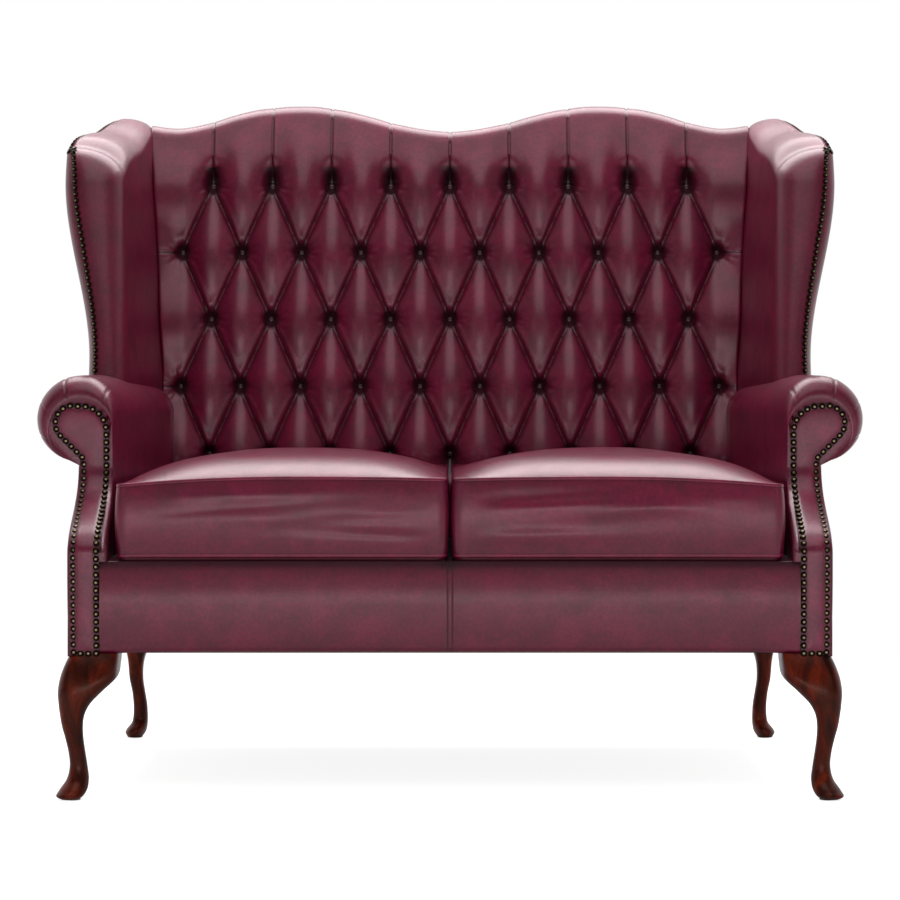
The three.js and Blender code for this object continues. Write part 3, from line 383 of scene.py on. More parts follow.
lamps = [  # name, place, aimed at, width, height, watts
    ("overhead", (0.0, 1.25, 2.9), (0, 1.25, 0.0), 3.2, 1.9, 108),
    ("frontHigh", (0.0, -1.5, 3.3), (0, 0, 0.6), 3.0, 2.5, 36),
    ("frontLow", (0.0, -5.0, 0.3), (0, 0, 0.3), 3.6, 0.5, 30),
    ("leftFill", (-2.7, -3.4, 1.6), (0.4, 0, 0.7), 1.2, 1.4, 4),
    ("rightFill", (2.7, -3.4, 1.6), (-0.4, 0, 0.7), 1.2, 1.4, 4),
]
for name, place, aim, width, height, watts in lamps:
    light = bpy.data.lights.new(name, "AREA")
    light.shape = "RECTANGLE"
    light.size, light.size_y, light.energy = width, height, watts
    lamp = bpy.data.objects.new(name, light)
    lamp.location = place
    away = np.array(aim) - np.array(place)
    lamp.rotation_euler = (math.atan2(math.hypot(away[0], away[1]), -away[2]), 0, math.atan2(-away[0], away[1]) if away[0] or away[1] else 0)
    scene.collection.objects.link(lamp)

world = bpy.data.worlds.new("studio")
scene.world = world
world.use_nodes = True
studio = world.node_tree
studio.nodes.clear()
ray = addNode(studio, "ShaderNodeLightPath").outputs
seen = addNode(studio, "ShaderNodeMath", {}, {0: ray["Is Camera Ray"], 1: ray["Is Transmission Ray"]}, operation="MAXIMUM")
# what shines sees the white backdrop behind the settee and the white floor's far end, and a dim room in front
towards = addNode(studio, "ShaderNodeTexCoord").outputs["Generated"]
aim = addNode(studio, "ShaderNodeSeparateXYZ", links={"Vector": towards}).outputs
behind = addNode(studio, "ShaderNodeMapRange", {"From Min": -0.35, "From Max": 0.3}, {"Value": aim["Y"]}).outputs["Result"]
below = addNode(studio, "ShaderNodeMapRange", {"From Min": 0.06, "From Max": 0.0}, {"Value": aim["Z"]}).outputs["Result"]
bright = addNode(studio, "ShaderNodeMath", {}, {0: behind, 1: below}, operation="MAXIMUM").outputs[0]
room = addNode(studio, "ShaderNodeMapRange", {"To Min": 0.05, "To Max": 1.0}, {"Value": bright}).outputs["Result"]
mirrored = addNode(studio, "ShaderNodeMath", {}, {0: ray["Is Glossy Ray"], 1: room}, operation="MULTIPLY")
ambient = addNode(studio, "ShaderNodeMath", {1: 0.5}, {0: ray["Is Diffuse Ray"]}, operation="MULTIPLY")
unlit = addNode(studio, "ShaderNodeMath", {}, {0: mirrored.outputs[0], 1: ambient.outputs[0]}, operation="MAXIMUM")
level = addNode(studio, "ShaderNodeMath", {}, {0: seen.outputs[0], 1: unlit.outputs[0]}, operation="MAXIMUM").outputs[0]
sky = addNode(studio, "ShaderNodeBackground", {"Color": (1, 1, 1, 1)}, {"Strength": level})
studio.links.new(sky.outputs[0], addNode(studio, "ShaderNodeOutputWorld").inputs["Surface"])


def makeFloor():  # matt white paper: where light reaches it, it shows as white as the backdrop
    made, tree, place, output = newMaterial("whitePaper")
    path = addNode(tree, "ShaderNodeLightPath").outputs
    direct = addNode(tree, "ShaderNodeMath", {}, {0: path["Is Camera Ray"], 1: path["Is Transmission Ray"]}, operation="MAXIMUM")
    shows = addNode(tree, "ShaderNodeMath", {}, {0: direct.outputs[0], 1: path["Is Glossy Ray"]}, operation="MAXIMUM")
    halfMirrored = addNode(tree, "ShaderNodeMath", {1: 0.15}, {0: path["Is Glossy Ray"]}, operation="MULTIPLY")
    either = addNode(tree, "ShaderNodeMath", {}, {0: direct.outputs[0], 1: halfMirrored.outputs[0]}, operation="MAXIMUM")
    lifted = addNode(tree, "ShaderNodeMath", {1: 0.84}, {0: either.outputs[0]}, operation="MULTIPLY").outputs[0]
    paper = addNode(tree, "ShaderNodeBsdfPrincipled", {"Base Color": srgb("#c6c6c6"), "Roughness": 0.9, "Specular IOR Level": 0.0,
                                                       "Emission Color": (1, 1, 1, 1)}, {"Emission Strength": lifted})
    plain = addNode(tree, "ShaderNodeEmission", {"Color": (1, 1, 1, 1), "Strength": 1.0})
    away = addNode(tree, "ShaderNodeVectorMath", {}, {0: place}, operation="LENGTH").outputs["Value"]
    # seen straight the sheet is plain white from 1.9 m off; what shines sees it so only from 4 m
    spread = addNode(tree, "ShaderNodeMapRange", {"To Min": 1.9, "To Max": 4.0}, {"Value": path["Is Glossy Ray"]}).outputs["Result"]
    near = addNode(tree, "ShaderNodeMath", {1: 0.55}, {0: spread}, operation="MULTIPLY").outputs[0]
    far = addNode(tree, "ShaderNodeMapRange", {}, {"Value": away, "From Min": near, "From Max": spread}).outputs["Result"]
    share = addNode(tree, "ShaderNodeMath", {}, {0: far, 1: shows.outputs[0]}, operation="MULTIPLY").outputs[0]
    both = addNode(tree, "ShaderNodeMixShader", links={"Fac": share, 1: paper.outputs["BSDF"], 2: plain.outputs[0]})
    tree.links.new(both.outputs[0], output.inputs["Surface"])
    return made


floorSize = 12000
corners = np.array([[-1, -1, 0], [1, -1, 0], [1, 1, 0], [-1, 1, 0]]) * floorSize / 2
floor = meshPiece("floor", corners, [[0, 1, 2, 3]], makeFloor())
print("camera, lights and floor made")


def finished(piece, body, slot, *nodes):
    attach(piece, body)
    if nodes:
        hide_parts(*nodes)
    return piece


def sideName(sign):
    return "right" if sign > 0 else "left"


# The arm's front: an upright column that sweeps back to the scroll head, in a cubic curve
sweep = {"back": 138, "footZ": 385, "headZ": 518, "footPull": 45, "headPull": 72, "drop": 0.75}
headY = front + sweep["back"]
curveShares = np.linspace(0, 1, 200)[:, None]
curvePoints = np.array([[front, sweep["footZ"]], [front, sweep["footZ"] + sweep["footPull"]],
                        [headY, sweep["headZ"] - sweep["headPull"]], [headY, sweep["headZ"]]])
curveWeights = np.hstack([(1 - curveShares) ** 3, 3 * (1 - curveShares) ** 2 * curveShares,
                          3 * (1 - curveShares) * curveShares ** 2, curveShares ** 3])
sweepLine = curveWeights @ curvePoints


def sweepAt(z, depth=0):  # y at height z on the surface that lies depth behind the front
    return np.interp(z + sweep["drop"] * depth, sweepLine[:, 1], sweepLine[:, 0]) + depth


def sweepNormal(z):  # out of the swept front: square to its line, towards the front
    slope = (sweepAt(z + 1) - sweepAt(z - 1)) / 2
    length = np.hypot(1, slope)
    return np.stack([np.zeros_like(slope), -1 / length, slope / length], axis=-1)


# The scroll's outline seen from the front, up the inner side, round the head and down the outer side
scroll = {"inner": facingLow[0], "crookZ": 570, "crookX": column - 2, "lobeX": column + 11, "lobeZ": 583, "lobe": 33,
          "footZ": base - 4.5}


def scrollOutline(inset, outerInset=None):
    outerInset = inset if outerInset is None else outerInset
    crook = np.radians(np.linspace(180, 99, 40))
    lobe = np.radians(np.linspace(81, -45, 60))
    crookRadius = scroll["crookX"] - scroll["inner"] - inset
    lobeEnd = (scroll["lobe"] - inset) * math.sqrt(0.5)
    neck = scroll["lobeZ"] - lobeEnd - (scroll["lobeX"] + lobeEnd - column + inset)
    parts = [[[scroll["inner"] + inset, scroll["footZ"] + inset]],
             np.stack([scroll["crookX"] + crookRadius * np.cos(crook), scroll["crookZ"] + crookRadius * np.sin(crook)], axis=1),
             np.stack([scroll["lobeX"] + (scroll["lobe"] - inset) * np.cos(lobe),
                       scroll["lobeZ"] + (scroll["lobe"] - inset) * np.sin(lobe)], axis=1),
             [[column - inset, neck], [column - outerInset, neck - 12], [column - outerInset, scroll["footZ"] + inset]]]
    return np.vstack(parts)


# Arm facing: rows across the outline from its foot to its head, padded by 1 - exp(-d / 9) of the distance d to its edge,
# with a groove under the nails
facing = {"thickness": facingHigh[1] - headY, "puff": 4.2, "puffReach": 9, "edge": 3, "nailInset": 5, "outerNailInset": 7,
          "groove": 1.3, "proud": 2.5}


def facingNailLine(pitch):
    flat = evenSteps(scrollOutline(facing["nailInset"], facing["outerNailInset"]), pitch=1, closed=True)
    return evenSteps(np.stack([flat[:, 0], sweepAt(flat[:, 1]), flat[:, 1]], axis=1), pitch=pitch, closed=True)


def makeFacing(sign):
    outline = evenSteps(scrollOutline(0, -facing["proud"]), pitch=1.5)
    edgeLine = evenSteps(scrollOutline(0, -facing["proud"]), pitch=3, closed=True)
    nailLine = facingNailLine(3)[:, [0, 2]]
    top = outline[:, 1].argmax()
    rise = np.sin(np.linspace(0, math.pi / 2, 46))
    levels = np.concatenate([np.linspace(scroll["footZ"], scroll["crookZ"] - 10, 110),
                             mixed(scroll["crookZ"] - 10, outline[top, 1] - 0.05, rise)[1:]])
    left = np.interp(levels, outline[:top + 1, 1], outline[:top + 1, 0])
    right = np.interp(levels, outline[top:, 1][::-1], outline[top:, 0][::-1])
    across = (1 - np.cos(np.linspace(0, math.pi, 34))) / 2
    x = mixed(left[:, None], right[:, None], across)
    z = np.broadcast_to(levels[:, None], x.shape)
    flat = np.stack([x.ravel(), z.ravel()], axis=1)
    edgeAway = np.sqrt(((flat[:, None] - edgeLine[None]) ** 2).sum(axis=2)).min(axis=1).reshape(x.shape)
    nailAway = np.sqrt(((flat[:, None] - nailLine[None]) ** 2).sum(axis=2)).min(axis=1).reshape(x.shape)
    lift = (facing["puff"] * (1 - np.exp(-edgeAway / facing["puffReach"])) - facing["groove"] * bump(nailAway, 3.5)
            - facing["edge"] * (1 - domed(edgeAway / facing["edge"])) + 0.5 * ripple(x, 0, z, 26, 11))
    normal = sweepNormal(z)
    face = np.stack([x, sweepAt(z), z], axis=-1) + normal * lift[..., None]
    backs = np.stack([x, sweepAt(z) + facing["thickness"], z], axis=-1)[:, ::-1]
    rings = np.concatenate([face, backs], axis=1) * [sign, 1, 1]
    # painted shade: the hide is darker towards the facing's edge and round the nails, where the groove is shaded
    shade = np.clip(0.35 + edgeAway / 30, 0, 0.8) - 0.45 * bump(nailAway, 6)
    wearAndPaintedShading = np.concatenate([np.clip(shade, 0, 1), np.full(x.shape, 0.5)], axis=1)
    name = sideName(sign)
    piece = ringSkin(f"{name}_facing_hide", rings, hide, wearAndPaintedShading, sharp=70)
    return finished(piece, "frame", "leather", f"{name}_arm_facing")


# Domed upholstery nails, close nailed: rim, shoulder and crown
nail = {"pitch": 12.2, "wingPitch": 11.4, "radius": 5.5, "height": 2.6}
nailProfile = [(0.86, -0.25), (1.0, 0.0), (0.93, 0.42), (0.72, 0.76), (0.5, 0.91), (0.24, 0.98), (0, 1.0)]


def makeNails(name, places, directions, body="frame"):
    shape, faces = turned([(r * nail["radius"], h * nail["height"]) for r, h in nailProfile], 10)
    # each nail's middle is brighter: partly a rubbed crown, partly a painted highlight
    crown = np.clip((0.52 - np.hypot(shape[:, 0], shape[:, 1]) / nail["radius"]) / 0.46, 0, 1)
    piece = scattered(name, shape, faces, places, directions, nailBrass, 0)
    piece.data.attributes["wearAndPaintedShading"].data.foreach_set("value", np.tile(0.1 + 0.9 * crown, len(places)).astype(np.float32))
    return finished(piece, body, "leather")


def makeFacingNails(sign):
    line = facingNailLine(nail["pitch"])
    normal = sweepNormal(line[:, 2])
    lift = facing["puff"] * (1 - math.exp(-facing["nailInset"] / facing["puffReach"])) - facing["groove"]
    places = (line + normal * (lift + 0.3)) * [sign, 1, 1]
    makeNails(f"{sideName(sign)}_facing_nails", places, normal * [sign, 1, 1])


# Arm pad: upright sections from the front to the back, each up the inner face, over the shoulder and round the roll
armPad = {"innerStart": 532, "innerHead": 540, "innerBack": 485, "taperEnd": 118, "headRadius": 47, "dome": 34,
          "edgeRound": 9, "puff": 8, "endY": padHigh[1], "gatherAngles": [132, 67, 22, -21, -60],
          "gatherDepths": [0.9, 1.2, 0.5, 0.9, 0.5], "gatherWidth": 1.6, "gatherRun": 12, "swell": 4, "shoulderPower": [1.0, 1.05]}


def armInner(y):
    forward = mixed(armPad["innerHead"], armPad["innerStart"], np.clip((headY - y) / sweep["back"], 0, 1) ** 0.7)
    back = mixed(armPad["innerHead"], armPad["innerBack"], np.clip((y - headY) / (armPad["taperEnd"] - headY), 0, 1) ** 0.75)
    return np.where(y < headY, forward, back)


def makeArmPad(sign):
    bottom = settee["rollBottom"]
    strip = sweepLine[::6][:-1]
    turn = np.linspace(0, math.pi / 2, 26)
    run = np.linspace(headY + armPad["dome"] + 6, armPad["endY"], 58)
    domeY = headY + 2 + armPad["dome"] * (1 - np.cos(turn)) - armPad["puff"] * np.sin(2 * turn) * (1 - turn / 2)
    y = np.concatenate([strip[:, 0] + 1, domeY, run])[:, None]
    out = np.concatenate([np.zeros(len(strip)), np.sin(turn), np.ones(len(run))])[:, None]
    radius = mixed(armPad["headRadius"], settee["rollRadius"], out)
    wide = radius + armPad["swell"] * bump(y - headY - 26, 34) * (y > headY)
    limit = np.concatenate([strip[:, 1], np.full(len(turn) + len(run), 1e4)])[:, None]
    inner = armInner(y)
    middle = bottom + radius
    shoulder, roll = np.radians(np.linspace(0, 90, 34)), np.radians(np.linspace(90, -90, 130))[1:]
    up = np.linspace(0, 1, 60)[:-1]
    innerZ = mixed(settee["deckZ"], middle, up)
    power = mixed(*armPad["shoulderPower"], np.clip((y - headY) / (armPad["taperEnd"] - headY), 0, 1))
    x = np.concatenate([inner + 0 * innerZ, column - (column - inner) * np.abs(np.cos(shoulder)) ** power,
                        column + wide * np.cos(roll), np.full((len(y), 2), column - 8.3)], axis=1)
    z = np.concatenate([innerZ, middle + radius * np.abs(np.sin(shoulder)) ** power, middle + radius * np.sin(roll),
                        np.full((len(y), 1), bottom), np.full((len(y), 1), settee["deckZ"])], axis=1)
    y = y + 0 * x
    ring = armPad["edgeRound"]
    beyond = limit - z
    rounded = ring * (1 - domed(beyond / ring)) * (x < inner + ring)
    frontRound = ring * (1 - domed((y - front) / ring)) * (x < inner + ring) * (limit < 1e4)
    x = np.where(limit < 1e4, np.clip(x + np.maximum(rounded, frontRound), None, column - 8.3), x)
    x = np.where(z > limit, np.maximum(x, inner + ring), x)
    z = np.minimum(z, limit)
    angle = np.degrees(np.arctan2(z - middle, x - column))
    near = np.abs((angle[..., None] - armPad["gatherAngles"] + 180) % 360 - 180)
    arc = np.radians(near) * radius[..., None]
    fade = (limit > 9e3) * np.exp(-np.maximum(0, y - headY - armPad["dome"]) / armPad["gatherRun"]) * (z > bottom + 3)
    fade = fade * mixed(0.25, 1, np.clip(out * 1.6, 0, 1))
    groove = (armPad["gatherDepths"] * np.exp(-(arc / armPad["gatherWidth"]) ** 2)).sum(axis=2) * fade
    swell = (0.12 * np.exp(-((arc - 5) / 4) ** 2) * armPad["gatherDepths"]).sum(axis=2) * fade
    sink = groove - swell + 0.9 * ripple(x, y * 0.6, z, 34, 21) * (limit > 9e3) * (z > bottom + 6)
    endRound = 12 * (1 - domed((armPad["endY"] - y) / 12))
    wayX, wayZ = column - x, middle - z
    length = np.maximum(1, np.hypot(wayX, wayZ))
    x = x + (sink + endRound) * wayX / length
    z = z + (sink + endRound) * wayZ / length
    y = y + 0.5 * groove
    rings = np.stack([x, y, z], axis=-1) * [sign, 1, 1]
    # painted shade: darker in the gathers and down towards the deck
    wearAndPaintedShading = np.clip(0.62 - 0.35 * groove, 0.05, 1) * mixed(0.6, 1, eased((z - settee["deckZ"]) / 110))
    name = sideName(sign)
    piece = ringSkin(f"{name}_arm_hide", rings, hide, wearAndPaintedShading, sharp=75)
    return finished(piece, "frame", "leather", f"{name}_arm_pad")


# A flat panel over thin padding: its two faces are the same grid of the outline, the outer one puffed by
# (1 - u^6)(1 - v^6) of how far a place is across (u) and up (v) it
def panelSkin(name, grid, outward, thickness, puff, wearAndPaintedShading=0.55, seed=0):
    rows, columns = grid.shape[:2]
    u = np.linspace(-1, 1, columns)[None, :]
    v = np.linspace(-1, 1, rows)[:, None]
    swell = puff * (1 - np.abs(u) ** 6) * (1 - np.abs(v) ** 6) - 1.6 * np.maximum(np.abs(u) ** 60, np.abs(v) ** 60)
    swell = swell + 0.7 * ripple(grid[..., 0], grid[..., 1], grid[..., 2], 60, seed) * (1 - np.abs(u) ** 6) * (1 - np.abs(v) ** 6)
    outer = grid + outward * swell[..., None]
    inner = (grid - outward * thickness)[:, ::-1]
    rings = np.concatenate([outer, inner], axis=1)
    shade = np.full(rings.shape[:2], wearAndPaintedShading)
    return ringSkin(name, rings, hide, shade, sharp=60)


def makeOutsideArm(sign):
    top = settee["rollBottom"] + 2.2    # its edge is held under the roll
    levels = np.linspace(base, top, 70)[:, None]
    start = sweepAt(levels, 12.3)
    end = settee["postY"] + settee["postDepth"] + rake(levels)
    y = mixed(start, end, np.linspace(0, 1, 110))
    grid = np.stack([np.full_like(y, column), y, levels + 0 * y], axis=-1) * [sign, 1, 1]
    name = sideName(sign)
    piece = panelSkin(f"{name}_outside_arm_hide", grid, np.array([sign, 0, 0.0]), 8, 3, seed=31)
    return finished(piece, "frame", "leather", f"{name}_outside_arm")


# Wings: the outer and inner sides at a share along (0 at the back post, 1 at the front edge) and a height
wing = {"base": 610, "edgeFootY": -70, "lean": 85, "armTop": 659, "widestZ": 993, "flareStart": 680, "splayFoot": 15,
        "splay": 71, "innerFoot": 545, "innerTop": 562, "edgeDepth": 40, "crestIn": 14, "rearRound": 22, "frontRound": 60,
        "noseRound": 62,
        "topPlaces": [0, 0.12, 0.35, 0.6, 0.8, 0.93, 1], "topZ": [1107, 1116, 1105, 1083, 1075, 1063, 1046]}
back = {"halfArm": 503, "halfTop": 535, "topZ": 1098, "hump": 1140, "dip": 1093, "humpOffset": 260, "sideRun": 235}


def backHalf(z):
    return mixed(back["halfArm"], back["halfTop"], np.clip((z - wing["armTop"]) / (back["topZ"] - wing["armTop"]), 0, 1))


def wingPlace(along, z):
    rear = settee["postY"] + settee["postDepth"] + rake(z)
    edge = wing["edgeFootY"] + wing["lean"] * (z - wing["armTop"]) / (wing["widestZ"] - wing["armTop"])
    return mixed(rear, edge, along), rear - edge


def wingOuter(along, z):
    flare = eased((z - wing["flareStart"]) / (wing["widestZ"] - wing["flareStart"]))
    return column + mixed(wing["splayFoot"], wing["splay"], flare) * np.clip(along, 0, None) ** 1.2


def wingInner(along, z):
    nose = mixed(wing["innerFoot"], wing["innerTop"], np.clip((z - wing["armTop"]) / (wing["widestZ"] - wing["armTop"]), 0, 1))
    return mixed(backHalf(z) + 0.3, nose, np.clip((along - 0.24) / 0.76, 0, None) ** 1.25)


def wingTop(along):
    return smoothLine(wing["topPlaces"], wing["topZ"], np.clip(along, 0, 1))[..., 0]


# A place on the wing: along, a share across (1 outer side, -1 inner side) and forward, a share of the round front edge
def wingPoint(along, across, forward, up):
    top = wingTop(along)
    z = mixed(wing["base"], top, up)
    deep = top - z
    _, length = wingPlace(along, z)
    share = wing["edgeDepth"] / length
    nose = domed(deep / wing["noseRound"]) * 0.98 + 0.02
    place = np.where(forward >= 0, 1 - share + share * forward * nose, along * (1 - share))
    y, _ = wingPlace(place, z)
    outer = wingOuter(place, z) - wing["crestIn"] * (1 - domed(deep / wing["crestIn"]))
    crest = wingOuter(place, z) - wing["crestIn"]
    inner = mixed(crest, wingInner(place, z), domed(deep / mixed(wing["rearRound"], wing["frontRound"], np.clip(place, 0, 1))))
    x = (outer + inner) / 2 + (outer - inner) / 2 * across
    return np.stack([x, y, z], axis=-1)


wingLevels = np.concatenate([np.linspace(0, 0.8, 90)[:-1], mixed(0.8, 1, np.sin(np.linspace(0, math.pi / 2, 44)))])[:, None]


def makeWingPad(sign):
    side = np.linspace(0, 1, 40)[:-1]
    arc = np.radians(np.linspace(90, -90, 56))
    along = np.concatenate([side, np.ones(len(arc)), side[::-1]])[None, :]
    across = np.concatenate([np.ones(len(side)), np.sin(arc), -np.ones(len(side))])[None, :]
    forward = np.concatenate([-np.ones(len(side)), np.cos(arc), -np.ones(len(side))])[None, :]
    rings = wingPoint(along + 0 * wingLevels, across + 0 * wingLevels, forward + 0 * wingLevels, wingLevels + 0 * along)
    soft = 1.3 * ripple(rings[..., 0], rings[..., 1], rings[..., 2], 55, 41)
    rings[..., 0] -= soft * (across < 0.2)
    rings[..., 1] += 0.6 * soft * (forward > 0)
    # painted highlight: the hide is lighter towards the wing's top, and a little lighter where the ripple is positive
    wearAndPaintedShading = np.clip(0.5 + 0.3 * eased((rings[..., 2] - 1000) / 90) + 0.1 * soft, 0, 1)
    name = sideName(sign)
    piece = ringSkin(f"{name}_wing_hide", rings * [sign, 1, 1], hide, wearAndPaintedShading, sharp=75)
    return finished(piece, "frame", "leather", f"{name}_wing_pad")


# Outside wing: a hide that lies on the wing's outer side and turns its front edge, where the nails hold it
wingTurn = {"heights": [660, 880, 1010], "degrees": [33, 24, 30]}    # short of straight ahead, where the hide ends
def wingSkin(up, turns):
    side = np.linspace(0, 1, 40)[:-1]
    ends = np.interp(mixed(wing["base"], wing["topZ"][-1], up), wingTurn["heights"], wingTurn["degrees"])
    arc = np.radians(mixed(90, ends, np.linspace(0, 1, turns)[None, :]))
    flat = np.ones((len(up), len(side)))
    along = np.hstack([flat * side, np.ones_like(arc)])
    across = np.hstack([flat, np.sin(arc)])
    forward = np.hstack([-flat, np.cos(arc)])
    outward = np.hstack([flat * math.pi / 2, arc])
    points = wingPoint(along, across, forward, up + 0 * along)
    deep = np.clip((wingTop(along) - points[..., 2]) / wing["crestIn"], 0, 1)
    lean = np.arccos(domed(deep)) * (deep < 1)
    normal = np.stack([np.sin(outward) * np.cos(lean), -np.cos(outward) * np.cos(lean), np.sin(lean)], axis=-1)
    return points, normal


def makeOutsideWing(sign):
    up = np.concatenate([np.linspace(0.02, 0.85, 70)[:-1], mixed(0.85, 0.992, np.sin(np.linspace(0, math.pi / 2, 26)))])[:, None]
    points, normal = wingSkin(up, 16)
    rings = np.concatenate([points + normal * 1.6, (points - normal * 2)[:, ::-1]], axis=1) * [sign, 1, 1]
    name = sideName(sign)
    piece = ringSkin(f"{name}_outside_wing_hide", rings, hide, np.full(rings.shape[:2], 0.5), sharp=60)
    finished(piece, "frame", "leather", f"{name}_outside_wing")
    edge, away = points[:, -1], normal[:, -1]
    nearTop = np.searchsorted(up[:, 0], 0.979)
    crest, over = points[nearTop, ::-1], normal[nearTop, ::-1]
    line = np.vstack([edge[edge[:, 2] > wing["armTop"] - 6], crest[4:-6]])
    direction = np.vstack([away[edge[:, 2] > wing["armTop"] - 6], over[4:-6]])
    both = evenSteps(np.hstack([line, direction * 0.001]), pitch=nail["wingPitch"])
    normals = both[:, 3:] / np.linalg.norm(both[:, 3:], axis=1)[:, None]
    makeNails(f"{name}_wing_nails", (both[:, :3] + normals * 1.8) * [sign, 1, 1], normals * [sign, 1, 1])


# Deep-buttoned back
button = {"pitch": 2 * back["halfArm"] / 9.5, "rows": 5, "across": 9, "topZ": 992, "lowZ": 516.7, "topY": 290, "lowY": 190,
          "rise": 42, "radius": 6.6, "height": 4.4}
rowPitch = (button["topZ"] - button["lowZ"]) / (button["rows"] - 1)
outermost = button["pitch"] * button["across"] / 2
tuft = {"pleatShare": 0.46, "fillShare": 0.72, "sharp": 0.85, "well": 11.5, "lip": 1.7, "lipAway": 4.0, "lipWidth": 2.6,
        "cut": 2.4, "cutWidth": 1.5, "perPitch": 46, "perRow": 50}
topRoll = {"half": 537, "rise": 34, "rearRise": 60, "rearY": 411, "bend": 0.00095, "start": 160, "end": -50}


def restY(z):  # the line of the button seats, which leans back
    return mixed(button["lowY"], button["topY"], np.maximum(0, z - button["lowZ"]) / (button["topZ"] - button["lowZ"]))


def frontHalf(z):  # half the width where the padding's front meets the wings
    deep = restY(z) - button["rise"] * tuft["fillShare"] + 12
    rear = settee["postY"] + settee["postDepth"] + rake(z)
    _, length = wingPlace(0, z)
    return mixed(backHalf(z), wingInner((rear - deep) / length, z) + 0.6, eased((z - settee["deckZ"]) / 110))


def backCrest(x):
    away = np.abs(x)
    inside = mixed(back["dip"], back["hump"], (1 - np.cos(math.pi * away / back["humpOffset"])) / 2)
    fall = np.clip((away - back["humpOffset"]) / back["sideRun"], 0, 1)
    outside = mixed(back["hump"], back["topZ"], (1 - np.cos(math.pi * fall ** 1.35)) / 2) + 6 * np.clip((away - 480) / 55, 0, 1) ** 2
    return np.where(away < back["humpOffset"], inside, outside)


# Height of the padding, 0 at a button and 1 in the middle of a diamond, with the fold at its pleats and, from how far a
# place is from its pleats and buttons, a painted shade.
# Two sets of slanting lines cross at the buttons: a place's share across each set is whole on a pleat.
# Height = (1 - exp(-(d / well)^2)) of the distance d to the nearest button, times pleat level plus the diamond's crown
def tuftHeight(x, z):
    across = np.minimum(np.abs(x), outermost) / button["pitch"]
    below = np.clip((z - button["lowZ"]) / (button["topZ"] - button["lowZ"]), 0, 1) * (button["rows"] - 1) / 2
    shares = [across + below, across - below]
    one, two = [np.abs(np.sin(math.pi * share)) for share in shares]
    acrossAway = np.abs(shares[0] - np.round(shares[0]) + shares[1] - np.round(shares[1])) / 2
    upAway = np.abs(shares[0] - np.round(shares[0]) - shares[1] + np.round(shares[1])) / 2
    pastEnd = np.maximum(0, np.abs(x) - outermost)
    fromButton = np.hypot(acrossAway * button["pitch"] + pastEnd, upAway * 2 * rowPitch)
    well = 1 - np.exp(-(fromButton / tuft["well"]) ** 2)
    height = well * (tuft["pleatShare"] + (1 - tuft["pleatShare"]) * (one * two) ** tuft["sharp"])
    beyond = np.maximum.reduce([0 * z + 0 * x, z - button["topZ"] + 0 * x, button["lowZ"] - z + 0 * x, np.abs(x) - outermost + 0 * z])
    outside = np.maximum.reduce([0 * z, z - button["topZ"], button["lowZ"] - z])
    share = np.clip(np.hypot(outside * 2 / rowPitch, pastEnd / 40), 0, 1)
    fill = tuft["fillShare"]
    fuller = (height + fill + np.sqrt((height - fill) ** 2 + 0.02)) / 2 - 0.03
    run = mixed(height, fuller, eased(share))
    # signed distance in mm to the nearest pleat of each set; the fold laps down, so its lip is above
    slope = math.hypot(button["pitch"] / 2, rowPitch) / (button["pitch"] / 2) / rowPitch
    offs = [(share - np.round(share)) / slope for share in shares]
    ends = [eased((other - 0.16) / 0.3) for other in (two, one)]
    inField = eased(1 - beyond / 12)
    lip = sum(end * bump(off * way - tuft["lipAway"], tuft["lipWidth"]) for off, end, way in zip(offs, ends, (1, -1)))
    cut = sum(end * bump(off, tuft["cutWidth"]) for off, end in zip(offs, ends))
    # level pleats run from the ends of the longer rows to the wings
    levelAway = np.abs(((button["topZ"] - z) / rowPitch) % 2 - 1) * rowPitch + 0 * x
    toWing = eased((np.abs(x) - outermost - 6) / 8) * eased(1 + (z - button["lowZ"]) / 40)
    lip = lip * inField + toWing * bump(levelAway - 4, 2.5) * 0.4
    cut = cut * inField + toWing * bump(levelAway, 1.5) * 0.7
    # painted shade: dark along the pleats and in a patch round each button, where the wells are shaded
    pleat = np.maximum(np.exp(-np.minimum(np.abs(offs[0]), np.abs(offs[1])) / 2.4) * eased(1 - beyond / 12),
                       toWing * np.exp(-levelAway / 2.4))
    dark = np.clip(0.85 * pleat + 1.1 * bump(fromButton, 17) * (share < 0.6), 0, 1)
    return run, tuft["lip"] * lip - tuft["cut"] * cut, dark


def buttonPlaces():
    rows = []
    for row in range(button["rows"]):
        count = button["across"] + row % 2
        x = (np.arange(count) - (count - 1) / 2) * button["pitch"]
        rows.append(np.stack([x, np.full(count, button["topZ"] - row * rowPitch)], axis=1))
    return np.vstack(rows)


def radialPulls(x, z):  # short wrinkles that run out from each button and die within half a pitch
    total = np.zeros(x.shape)
    draw = np.random.default_rng(7)
    for bx, bz in buttonPlaces():
        dx, dz = x - bx, z - bz
        near = np.hypot(dx, dz)
        angle = np.arctan2(dz, dx)
        phase, count = draw.uniform(0, 2 * math.pi), draw.integers(9, 14)
        total += np.sin(count * angle + phase + 0.6 * np.sin(3 * angle)) * bump(near - 21, 11)
    return total


